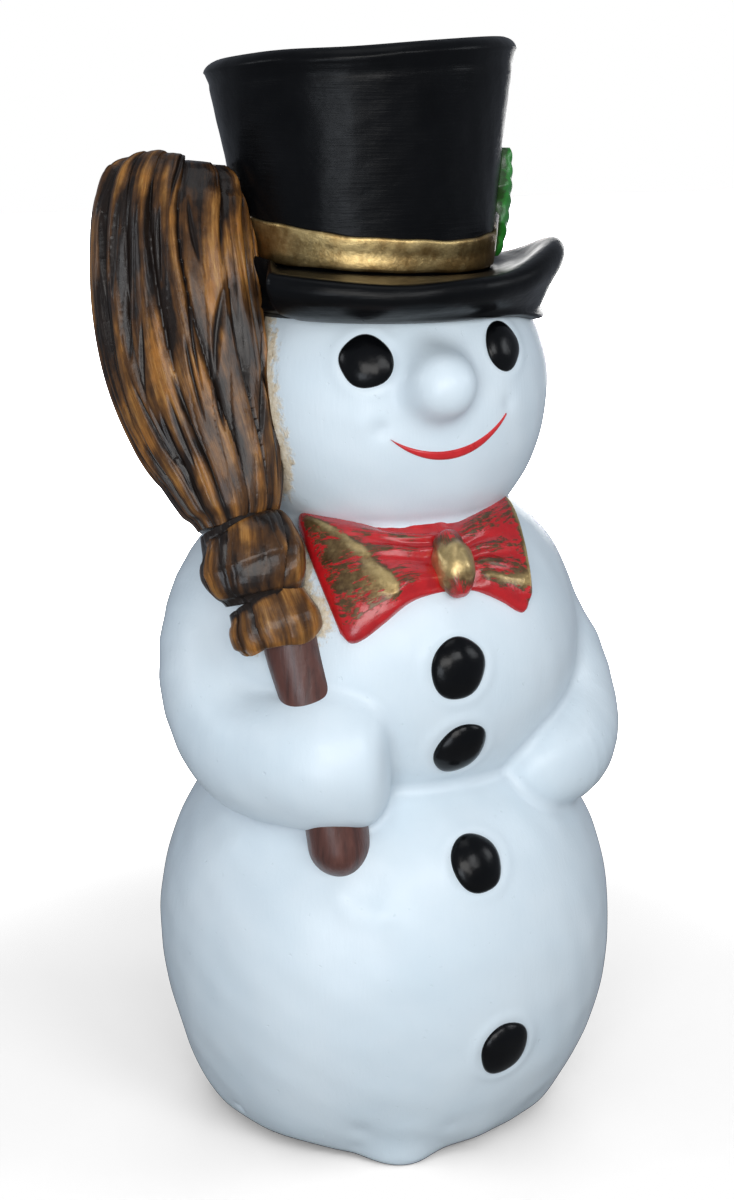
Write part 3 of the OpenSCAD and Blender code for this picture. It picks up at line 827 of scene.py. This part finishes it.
def tented(x):
    """1 along a crest at x = 0, falling evenly to 0 at -1 and 1, with the crest slightly rounded."""
    return np.clip(1.04 - np.sqrt(x * x + 0.0016), 0, 1)


def right_relief(S, T):
    """A crest runs from the outer top corner to the lower edge's middle. Outside it the wing slopes away."""
    crest_at = 0.40 + 0.16 * T + 0.38 * T ** 4
    near = S - crest_at + 0.012 * np.sin(9 * T)
    tent = tented(near / np.where(near > 0, 0.62, 0.30))
    ridge = bell(near, 0, np.where(near > 0, 0.06, 0.035))
    outer = smooth(near, 0, 0.12)
    f = folds(S, T, 0.6)
    height = 2.6 + 6.8 * tent + 1.5 * f * smooth(S, 0.02, 0.12) * (1 - outer)
    height += 0.5 * np.sin(7 * T + 9 * S) * outer
    height += 1.4 * bell(T, 1, 0.07) * smooth(S, 0.05, 0.3)
    plain_edge = bell(np.minimum(np.minimum(T, 1 - T), 1 - S), 0, 0.10)
    worn = outer * np.clip(0.41 - 0.4 * near, 0.1, 0.41)
    return height, 0.36 + 0.62 * ridge + 0.16 * f + worn - 0.95 * plain_edge - 0.25 * smooth(S, 0.3, 0.1)


def left_relief(S, T):
    """A crest runs down near the outer end and another along the lower edge. Folds fill the space between."""
    near = S - (0.78 + 0.05 * np.sin(3 * T))
    tent = tented(near / np.where(near > 0, 0.34, 0.42)) * smooth(T, 0.0, 0.12)
    ridge = bell(near, 0, np.where(near > 0, 0.10, 0.06)) * smooth(T, 0.05, 0.2)
    above = T - 0.17 - 0.05 * S
    low_tent = tented(above / 0.26) * smooth(S, 0.05, 0.35)
    lower = bell(above, 0, 0.06) * smooth(S, 0.1, 0.35)
    f = folds(S, T, 2.4)
    height = 2.8 + 6.0 * np.maximum(tent, 0.8 * low_tent) + 1.5 * f * smooth(S, 0.02, 0.12)
    plain_edge = bell(np.minimum(T, 1 - T), 0, 0.06)
    crest = 0.44 + 0.70 * np.maximum(ridge, lower) + 0.26 * f + 0.30 * smooth(near, 0, 0.1) - 0.7 * plain_edge
    return height, crest - 0.25 * smooth(S, 0.3, 0.1)


def knot(material):
    """The knot: a barrel with one deep crease and small gathers."""
    a = turns(96)
    rings, crest = [], []
    reach = np.linspace(0.03, 0.97, 80)
    for s in reach:
        h = -20.5 * cos(pi * s)
        r = 11.8 * sin(pi * s) ** 0.72 * (1 - 0.13 * float(smooth(abs(h + 2), 5, 17)))
        r = r - 0.6 * bell(h, 10, 2.6) + 0.12 * np.sin(5 * a + h / 7)
        centre = KNOT + UP * h
        rings.append(centre + (r * np.sin(a))[:, None] * ACROSS + (1.06 * r * np.cos(a))[:, None] * OUT)
        # Painted highlight: the crest mark peaks round the knot's middle, where its gold is painted brightest.
        crest.append(np.full(len(a), 1.25 * bell(h, -2, 17)))
    verts, faces = closed_rings(rings)
    verts = verts + OUT * (0.7 * waves(verts, 13, 61))[:, None]
    marks = {"crest": with_ends(crest), "reach": with_ends(np.repeat(reach, len(a)), (0, 1)),
             "fan": with_ends(np.tile(np.cos(a), len(reach)))}
    return make_piece("bow_knot_barrel", verts, faces, material, "bow_knot", marks)


# ---- Eyes, buttons and mouth ----
# Node, paint slot, place, radius of the ring round it, half width and height, lean in degrees, and rise
COALS = [
    ("right_eye", "eye_paint", polar(-26, 88, 481), 15, (15.2, 14.8), 8, 5),
    ("left_eye", "eye_paint", polar(27.5, 88, 485.5), 14, (13.8, 14.2), -6, 5),
    ("top_button", "black_paint", polar(0.5, 119, 312), 17.5, (16.6, 18.0), -5, 6.6),
    ("second_button", "black_paint", polar(2.8, 113, 261), 17.5, (15.2, 17.6), -28, 6.6),
    ("third_button", "black_paint", polar(5.5, 122, 194), 17.5, (15.2, 18.2), 24, 6.6),
    ("bottom_button", "black_paint", polar(10.5, 137, 82), 17.5, (15.4, 17.8), -20, 6.6),
]


def coal(node, spot, radii, lean, height, seed, material):
    """A painted lump of coal: an uneven rounded dome pressed on the snow."""
    rng = np.random.default_rng(seed)
    a = turns(96)
    outline = 1 + 0 * a
    for k in (2, 3, 4, 5):
        outline = outline + rng.uniform(0.008, 0.03) / (k / 2.5) * np.cos(k * a + rng.uniform(0, 6.3))
    centre = settle(snow, np.array([spot], float))[0]
    normal = unit(slope(snow, centre[None], 3.0))[0]
    right = unit(np.cross(UPWARD, normal))
    up = np.cross(normal, right)
    lean = radians(lean)
    # Each ring's reach from the middle, and its height: the last one closes the dome inside the snow
    reach = (*np.linspace(0.04, 0.90, 14), 0.95, 0.98, 1.0)
    rows = [(k, 0.15 + height * (1 - k ** 2.4) ** 0.62) for k in reach]
    rings = []
    for k, rise in rows + [(0.99, -1.3)]:
        x, y = radii[0] * outline * np.cos(a) * k, radii[1] * outline * np.sin(a) * k
        x, y = x * cos(lean) - y * sin(lean), x * sin(lean) + y * cos(lean)
        p = centre + x[:, None] * right + y[:, None] * up + 12 * normal
        rings.append(cast(snow, p, -np.tile(normal, (len(a), 1))) + normal * rise)
    verts, faces = closed_rings(rings)
    return make_piece(node + "_dome", verts, faces, material, node)


def mouth(material):
    """The smile: a thin raised crescent between two arcs, which tapers to both corners."""
    half, low_r, high_r = 37, 47, 60
    tilt = radians(7)
    x = np.linspace(-half * 0.985, half * 0.985, 110)
    t = np.linspace(0, 1, 13)
    low, high = (sqrt(r**2 - half**2) - np.sqrt(r**2 - x**2) for r in (low_r, high_r))
    z = low[:, None] * (1 - t) + high[:, None] * t
    z += 0.25 * np.sin(x / 3.1)[:, None] * (1 - np.abs(2 * t - 1))
    X = np.repeat(x[:, None], len(t), 1)
    px = 5.5 + X * cos(tilt) - z * sin(tilt)
    pz = 445.5 + X * sin(tilt) + z * cos(tilt)
    start = np.stack([px, np.full_like(px, -125), pz], -1)
    ground = cast(snow, start, np.broadcast_to([0, 1.0, 0], start.shape))
    normal = unit(slope(snow, ground))
    rise = 0.85 * (1 - np.abs(2 * t - 1) ** 3)[None, :, None]
    ring = np.concatenate([ground + normal * (rise + 0.05), (ground - normal * 0.8)[:, ::-1]], axis=1)
    verts, faces = closed_rings(ring)
    return make_piece("smile", verts, faces, material, "mouth")


# ---- Paints ----
class Paint:
    """Builds one procedural material on a Principled shader. Colours are linear RGB."""

    def __init__(self, name, **sockets):
        self.material = bpy.data.materials.new(name)
        self.material.use_nodes = True
        self.tree = self.material.node_tree
        self.shader = next(n for n in self.tree.nodes if n.type == "BSDF_PRINCIPLED")
        for key, value in sockets.items():
            self.shader.inputs[key.replace("_", " ")].default_value = value
        self.place = self.node("ShaderNodeTexCoord").outputs["Object"]

    def node(self, kind, inputs=(), **settings):
        n = self.tree.nodes.new(kind)
        for key, value in settings.items():
            setattr(n, key, value)
        for key, value in dict(inputs).items():
            self.set(n.inputs[key], value)
        return n

    def set(self, socket, value):
        if isinstance(value, bpy.types.NodeSocket):
            self.tree.links.new(value, socket)
        elif isinstance(value, (tuple, list)) and len(value) == 3 and len(socket.default_value) == 4:
            socket.default_value = (*value, 1)
        else:
            socket.default_value = value

    def mark(self, name):
        """A value stored on the mesh."""
        return self.node("ShaderNodeAttribute", attribute_name=name).outputs["Fac"]

    def math(self, operation, a, b=0.0, clamp=False):
        return self.node("ShaderNodeMath", {0: a, 1: b}, operation=operation, use_clamp=clamp).outputs[0]

    def add(self, a, b):
        return self.math("ADD", a, b)

    def times(self, a, b):
        return self.math("MULTIPLY", a, b)

    def vector(self, x, y, z=0.0):
        return self.node("ShaderNodeCombineXYZ", {0: x, 1: y, 2: z}).outputs[0]

    def noise(self, size, detail=4.0, rough=0.55, stretch=(1, 1, 1), where=None, warp=0.0):
        """Cloudy noise whose features are about size mm across, stretched along the axes by stretch."""
        scale = [1 / MM / size / k for k in stretch]
        vector = self.node("ShaderNodeMapping", {"Vector": where or self.place, "Scale": scale}).outputs[0]
        return self.node("ShaderNodeTexNoise", {"Vector": vector, "Scale": 1.0, "Detail": detail,
                                                "Roughness": rough, "Distortion": warp}).outputs["Fac"]

    def step(self, value, low, high):
        """0 below low and 1 above high, smoothly."""
        return self.node("ShaderNodeMapRange", {"Value": value, "From Min": low, "From Max": high},
                         interpolation_type="SMOOTHSTEP").outputs[0]

    def span(self, value, low, high):
        """Noise of 0.25 to 0.75 brought to low to high."""
        return self.node("ShaderNodeMapRange", {"Value": value, "From Min": 0.25, "From Max": 0.75,
                                                "To Min": low, "To Max": high}).outputs[0]

    def vary(self, low, high, size, *args, **more):
        """Noise between low and high."""
        return self.span(self.noise(size, *args, **more), low, high)

    def mix(self, factor, a, b):
        n = self.node("ShaderNodeMix", data_type="RGBA")
        for index, value in ((0, factor), (6, a), (7, b)):
            self.set(n.inputs[index], value)
        return n.outputs[2]

    def two_tone(self, a, b, size, *args, **more):
        """Two colours, mixed by noise."""
        return self.mix(self.vary(0, 1, size, *args, **more), a, b)

    def ramp(self, value, *stops):
        """Colours blended along value: (position, colour) stops."""
        out = stops[0][1]
        for (p0, _), (p1, colour) in zip(stops[:-1], stops[1:]):
            out = self.mix(self.step(value, p0, p1), out, colour)
        return out

    def relief(self, *layers):
        """Bumps, each (height, depth in mm), one on another."""
        normal = None
        for height, depth in layers:
            inputs = {"Height": height, "Strength": 1.0, "Distance": depth * MM}
            if normal is not None:
                inputs["Normal"] = normal
            normal = self.node("ShaderNodeBump", inputs).outputs[0]
        self.set(self.shader.inputs["Normal"], normal)

    def finish(self, colour=None, rough=None, metal=None):
        for key, value in (("Base Color", colour), ("Roughness", rough), ("Metallic", metal)):
            if value is not None:
                self.set(self.shader.inputs[key], value)
        return self.material


CREAM = (0.70, 0.60, 0.44)


def snow_paint():
    """White paint over cream resin, which shows where the mesh is marked raw, with a painted shade in the
    creases.
    """
    p = Paint("snow_paint", IOR=1.45, Coat_Weight=0.12, Coat_Roughness=0.22)
    base = p.two_tone((0.66, 0.765, 0.83), (0.735, 0.82, 0.87), 60, 3)
    # Painted shade: the snow is darkened to blue-grey in its creases.
    crease_shade = p.times(p.mark("crease"), p.vary(0.55, 1.0, 14))
    base = p.mix(p.times(crease_shade, 0.55), base, (0.50, 0.56, 0.62))
    raw = p.step(p.add(p.mark("raw"), p.vary(-0.34, 0.34, 5, 5, 0.65)), 0.45, 0.85)
    resin = p.ramp(p.noise(4, 5, 0.7), (0.28, (0.42, 0.32, 0.20)), (0.48, CREAM), (0.68, (0.80, 0.73, 0.60)))
    strokes = p.noise(2.2, 3, 0.6, stretch=(1, 1, 7))
    pits = p.step(p.noise(3.4, 2, 0.5), 0.70, 0.78)
    p.relief((p.noise(30, 2), 0.32), (strokes, 0.13), (pits, -0.16), (p.times(p.noise(3, 5, 0.7), raw), 0.9))
    return p.finish(p.mix(raw, base, resin), p.add(p.vary(0.36, 0.48, 9, 3), p.times(raw, 0.2)))


def black_paint(name, streaks):
    """Black gloss, brushed round the hat or smooth on the coals, and matt where the mesh is marked dusty."""
    p = Paint(name, IOR=1.23 if streaks else 1.29)
    brush = p.noise(1.6, 4, 0.6, stretch=(16, 16, 1) if streaks else (1, 1, 1))
    p.relief((brush, 0.16 if streaks else 0.06), (p.noise(18, 3), 0.5))
    dusty = p.times(p.mark("dusty"), 0.5)
    p.set(p.shader.inputs["Specular IOR Level"], p.math("SUBTRACT", 0.5, dusty))
    rough = p.vary(0.27, 0.37, 8) if streaks else p.vary(0.17, 0.27, 8)
    return p.finish(p.two_tone((0.0012, 0.0014, 0.0018), (0.0034, 0.0037, 0.0044), 30), p.add(rough, dusty))


def gold_layers(p, wear):
    """Bronze-gold leafing paint with brown patina. The second argument moves it towards bright gold, a painted
    highlight, or towards brown, a painted shade. Returns its colour and roughness.
    """
    patina = p.step(p.add(p.noise(16, 6, 0.62), wear), 0.34, 0.66)
    gold = p.two_tone((0.50, 0.35, 0.14), (0.70, 0.53, 0.25), 3, 4, 0.7)
    return p.mix(patina, (0.24, 0.145, 0.05), gold), p.vary(0.30, 0.46, 2.4, 4, 0.7)


def gold_paint():
    """The band's gold, with bare resin where the mesh is marked raw."""
    p = Paint("gold_paint")
    colour, rough = gold_layers(p, p.mark("wear"))
    raw = p.step(p.add(p.mark("raw"), p.vary(-0.3, 0.3, 4, 5)), 0.45, 0.6)
    p.relief((p.noise(2.4, 5, 0.7), 0.22), (p.noise(12, 3), 0.5))
    return p.finish(p.mix(raw, colour, CREAM), p.math("ADD", rough, p.times(raw, 0.3), clamp=True),
                    p.math("SUBTRACT", 0.94, raw, clamp=True))


def bow_paint(name):
    """Red gloss with gold dragged over it. The gold is painted brightest along the crests, a painted
    highlight, and dark brown between them.
    """
    p = Paint(name, Coat_Weight=0.35, Coat_Roughness=0.16)
    crest = p.mark("crest")
    swept = p.vector(p.times(p.mark("reach"), 0.065), p.times(p.mark("fan"), 0.065))
    dry = p.add(p.times(crest, 0.50),
                p.vary(-0.30, 0.30, 1.7, 6, 0.75, stretch=(4.5, 1, 1), where=swept, warp=0.4))
    gold = p.step(p.add(dry, p.vary(-0.16, 0.16, 11, 3)), 0.24, 0.33)
    # Painted highlight: the gold is lighter along the crests, and browner between them.
    colour, rough = gold_layers(p, p.times(p.math("SUBTRACT", crest, 0.75), 0.3))
    crest_highlight = p.step(p.add(crest, p.vary(-0.08, 0.08, 4)), 0.56, 1.12)
    colour = p.mix(crest_highlight, p.two_tone((0.060, 0.030, 0.010), (0.15, 0.085, 0.030), 4, 5, 0.7), colour)
    red = p.two_tone((0.36, 0.006, 0.009), (0.60, 0.012, 0.016), 10)
    p.relief((p.noise(1.6, 4, 0.6), 0.12), (gold, 0.10), (p.noise(9, 3), 0.5))
    metal = p.times(gold, p.add(p.times(crest_highlight, 0.45), 0.45))
    return p.finish(p.mix(gold, red, colour), p.mix(gold, (0.27,) * 3, rough), metal)


def straw_paint():
    """Tan straw with hair-fine streaks, under a brown and black glaze that gathers in the furrows."""
    p = Paint("straw_paint", Coat_Weight=0.18, Coat_Roughness=0.10, IOR=1.3)
    grain = p.vector(p.mark("grain_x"), p.mark("grain_y"), p.mark("along"))
    grain = p.node("ShaderNodeVectorMath", {0: grain, "Scale": MM}, operation="SCALE").outputs[0]
    hair = p.noise(0.55, 5, 0.65, stretch=(1, 1, 34), where=grain, warp=0.3)
    blotch = p.noise(2.4, 4, 0.6, stretch=(1, 1, 26), where=grain, warp=0.4)
    patch = p.noise(20, 4, 0.6, warp=0.6)
    tone = p.ramp(hair, (0.28, (0.10, 0.040, 0.010)), (0.44, (0.23, 0.096, 0.021)),
                  (0.58, (0.34, 0.16, 0.040)), (0.74, (0.50, 0.29, 0.10)))
    tone = p.mix(p.step(patch, 0.48, 0.64), tone, p.mix(0.5, tone, (0.42, 0.165, 0.030)))
    dark = p.add(p.times(p.mark("furrow"), 0.95), p.span(blotch, -0.28, 0.32))
    dark = p.add(dark, p.vary(-0.34, 0.56, 26, 2, stretch=(1, 1, 2.2)))
    dark = p.add(dark, p.vary(-0.12, 0.20, 7, 3, stretch=(1, 1, 1.8)))
    streak = p.span(hair, 0, 1)
    tone = p.mix(p.step(dark, -0.14, 0.40), tone, p.mix(streak, (0.030, 0.013, 0.006), (0.105, 0.046, 0.014)))
    deep = p.mix(streak, (0.004, 0.003, 0.003), (0.020, 0.012, 0.008))
    p.relief((hair, 0.3), (blotch, 0.35), (p.noise(7, 3), 0.4))
    return p.finish(p.mix(p.step(dark, 0.34, 0.66), tone, deep), p.vary(0.24, 0.40, 6))


def stick_paint():
    """Red-brown paint with streaks along the stick."""
    p = Paint("stick_paint", Coat_Weight=0.3, Coat_Roughness=0.25)
    run = p.noise(4, 4, 0.6, stretch=(1, 1, 9))
    colour = p.ramp(run, (0.32, (0.056, 0.019, 0.014)), (0.52, (0.092, 0.031, 0.022)),
                    (0.72, (0.125, 0.046, 0.033)))
    p.relief((run, 0.5), (p.noise(2, 4), 0.12))
    return p.finish(colour, p.vary(0.34, 0.5, 9, 3))


def leaf_paint():
    """Leaf green, darker along the edge."""
    p = Paint("leaf_paint", Coat_Weight=0.25, Coat_Roughness=0.25)
    rim = p.step(p.add(p.mark("edge"), p.vary(-0.12, 0.12, 3)), 0.80, 0.98)
    p.relief((p.noise(3, 4), 0.3))
    green = p.two_tone((0.012, 0.14, 0.014), (0.035, 0.30, 0.035), 8)
    return p.finish(p.mix(rim, green, (0.028, 0.075, 0.018)), p.vary(0.3, 0.45, 7, 3))


def plain(name, low, high, size, rough, stretch=(1, 1, 1), depth=0.1, metal=0.0, coat=0.0):
    """A two-tone finish with a fine surface."""
    p = Paint(name, Coat_Weight=coat, Metallic=metal)
    tone = p.noise(size, 4, 0.6, stretch=stretch)
    p.relief((tone, depth))
    return p.finish(p.mix(p.span(tone, 0, 1), low, high), p.vary(rough - 0.06, rough + 0.06, size * 2, 3))


# ---- Building ----
SPOTS += [(settle(snow, np.array([place]), rounds=6)[0], ring) for _, _, place, ring, *_ in COALS]
SNOW, STRAW_PAINT, GOLD, RED = snow_paint(), straw_paint(), gold_paint(), bow_paint("bow_paint")
BLACK, GLOSS = black_paint("black_paint", True), black_paint("gloss_black", False)

straw_parts = [
    straw_piece("broom_straw", STRAW, 400, 480, straw_shape, STRAW_PAINT, "broom_bristles"),
    straw_piece("broom_bulge", BULGE, 130, 300, bulge_shape, STRAW_PAINT, "broom_binding"),
    straw_piece("broom_skirt", SKIRT, 90, 300, skirt_shape, STRAW_PAINT, "broom_collar"),
]
stick(stick_paint())
crown(BLACK)
brim(BLACK)
band(GOLD)
leaf(leaf_paint())
wing("bow_right_puff", WING_RIGHT, 2.6, right_relief, RED, "bow_right_wing")
wing("bow_left_puff", WING_LEFT, -2.0, left_relief, RED, "bow_left_wing")
knot(bow_paint("knot_paint"))
for i, (node, slot, place, _, radii, lean, rise) in enumerate(COALS):
    coal(node, place, radii, lean, rise, 51 + i, GLOSS)
mouth(plain("mouth_paint", (0.50, 0.010, 0.014), (0.66, 0.02, 0.024), 6, 0.3, coat=0.4))


def rawness(verts):
    """How bare the resin of the snow is: most where the broom leans, and on the cheek beside it."""
    points = np.vstack([np.array([v.co for v in o.data.vertices])[::3] for o in straw_parts]) / MM
    tree = KDTree(len(points))
    for i, q in enumerate(points):
        tree.insert(Vector(q), i)
    tree.balance()
    gap = np.array([tree.find(Vector(q))[2] if q[2] > 300 and q[0] < 40 else 99.0 for q in verts])
    cheek = bump(verts, from_broom(np.array([-66.0, -92, 430])), 26) * 0.25
    return np.clip(np.clip(1 - gap / 15, 0, 1) + cheek * (gap < 30), 0, 1)


def build_snow():
    """The skin of snow, cut into the pieces it is moulded in."""
    step = 2.5
    verts, tris = surface_net(snow, (-152, -158, -4), (152, 152, 556), step)
    verts = settle(snow, verts)
    verts, _, tris = cut(verts, tris, verts[:, 2] - rim_height(verts))
    vent = np.where(verts[:, 1] > 60, np.hypot(verts[:, 0] - VENT[0], verts[:, 2] - VENT[2]) - VENT_R, 50)
    verts, _, tris = cut(verts, tris, vent)
    parts = {}
    for node, field in (("right_arm", right_arm), ("left_arm", left_arm), ("nose", nose)):
        verts, parts[node], tris = cut(verts, tris, field(verts) - balls(verts))
    verts, parts["front_shell"], parts["rear_shell"] = cut(verts, tris, verts[:, 1].copy())
    normals = unit(slope(snow, verts, 0.9))
    # A crease is a place where the snow is still close a little way outside its skin. The snow's paint is
    # darkened there as a painted shade.
    reach = 7
    crease = np.clip((reach - snow(verts + normals * reach)) / reach * 1.6, 0, 1)
    marks = {"raw": rawness(verts), "crease": crease}
    for node, faces in parts.items():
        skin_piece(node.replace("shell", "skin") if "shell" in node else node + "_skin",
                   verts, faces, normals, marks, SNOW, node)


build_snow()

BASE = {
    "seam_strip": plain("glass_tape", (0.42, 0.33, 0.18), (0.55, 0.45, 0.28), 3, 0.6),
    "base_plate": plain("plywood", (0.42, 0.27, 0.13), (0.60, 0.43, 0.25), 5, 0.62,
                        stretch=(9, 1, 1), depth=0.2),
    "base_screws": plain("steel", (0.42, 0.42, 0.44), (0.56, 0.56, 0.58), 2, 0.3, metal=1.0),
    "anchor_inserts": plain("brass", (0.55, 0.38, 0.13), (0.68, 0.50, 0.22), 2, 0.28, metal=1.0),
    "rubber_feet": plain("rubber", (0.018, 0.018, 0.019), (0.035, 0.035, 0.036), 2.5, 0.75),
    "vent_bush": plain("bush_plastic", (0.70, 0.72, 0.73), (0.78, 0.80, 0.81), 6, 0.4, depth=0.05),
    "vent_plug": plain("plug_rubber", (0.05, 0.052, 0.055), (0.085, 0.087, 0.09), 3, 0.55, depth=0.08),
}
BASE["base_ring"] = BASE["base_plate"]
for node, material in BASE.items():
    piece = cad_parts[node]
    piece.data.materials.clear()
    piece.data.materials.append(material)


# ---- Setting ----
def floor():
    """A pale floor that only catches shadows, and fades out with distance."""
    data = bpy.data.meshes.new("floor")
    data.from_pydata([(-6, -6, 0), (6, -6, 0), (6, 6, 0), (-6, 6, 0)], [], [(0, 1, 2, 3)])
    plane = add("floor", data)
    p = Paint("floor_paint", Roughness=0.9)
    reach = p.node("ShaderNodeVectorMath", {0: p.place}, operation="LENGTH").outputs["Value"]
    p.set(p.shader.inputs["Alpha"], p.step(reach, 1.1, 0.3))
    data.materials.append(p.finish((0.3, 0.3, 0.3)))
    plane.is_shadow_catcher = True


def studio():
    """White where the camera sees it, and a dim blue-white sky for light and reflections."""
    world = bpy.data.worlds.new("studio")
    bpy.context.scene.world = world
    world.use_nodes = True
    tree = world.node_tree
    sky, white = tree.nodes["Background"], tree.nodes.new("ShaderNodeBackground")
    for shader, colour, strength in ((sky, (0.80, 0.87, 1.0, 1), 0.30), (white, (1, 1, 1, 1), 1.0)):
        shader.inputs[0].default_value, shader.inputs[1].default_value = colour, strength
    choose, path = tree.nodes.new("ShaderNodeMixShader"), tree.nodes.new("ShaderNodeLightPath")
    ends = (path.outputs["Is Camera Ray"], sky.outputs[0], white.outputs[0])
    for i, end in enumerate(ends):
        tree.links.new(end, choose.inputs[i])
    tree.links.new(choose.outputs[0], tree.nodes["World Output"].inputs[0])


floor()
studio()

camera_data = bpy.data.cameras.new("camera")
camera = add("camera", camera_data)
camera.location = Vector(TOWARD * 1.3 + UPWARD * 0.675)
camera.rotation_euler = (radians(90 - 15.2), 0, TURN)
camera_data.lens, camera_data.sensor_width, camera_data.shift_x = 66.3, 36, -0.0117
bpy.context.scene.camera = camera
bpy.context.scene.view_settings.view_transform = "Standard"

CHEST = (0, 0, 0.36)
# Name, distance in metres towards the viewer, to the right and up, aim, size, power, colour
LIGHTS = [
    ("key", 1.45, 0, 0.70, CHEST, (0.9, 0.6), 8.9, (1, 0.985, 0.96)),
    ("fill", 1.2, 0.75, 1.0, CHEST, (0.6, 0.5), 4.6, (0.97, 0.985, 1)),
    ("left", 0.3, -1.4, 0.9, CHEST, (0.5, 0.5), 2.6, (0.92, 0.96, 1)),
    ("right", 0.2, 1.4, 0.9, CHEST, (0.5, 0.5), 2.8, (0.92, 0.96, 1)),
    ("low", 1.25, -0.40, 0.16, (0, 0, 0.35), (0.5, 0.4), 3.3, (0.85, 0.92, 1)),
    ("top", 0.3, 0, 1.7, CHEST, (0.8, 0.8), 2.0, (0.95, 0.98, 1)),
    ("back", -1.5, 0.15, 0.45, CHEST, (0.9, 0.5), 6.4, (1, 0.99, 0.97)),
]
for name, near, right, rise, aim, size, power, colour in LIGHTS:
    data = bpy.data.lights.new(name, "AREA")
    data.shape = "RECTANGLE"
    data.size, data.size_y = size
    data.energy, data.color = power, colour
    light = add(name, data)
    light.location = Vector(TOWARD * near + SIDE * right + UPWARD * rise)
    light.rotation_euler = (Vector(aim) - light.location).to_track_quat("-Z", "Y").to_euler()
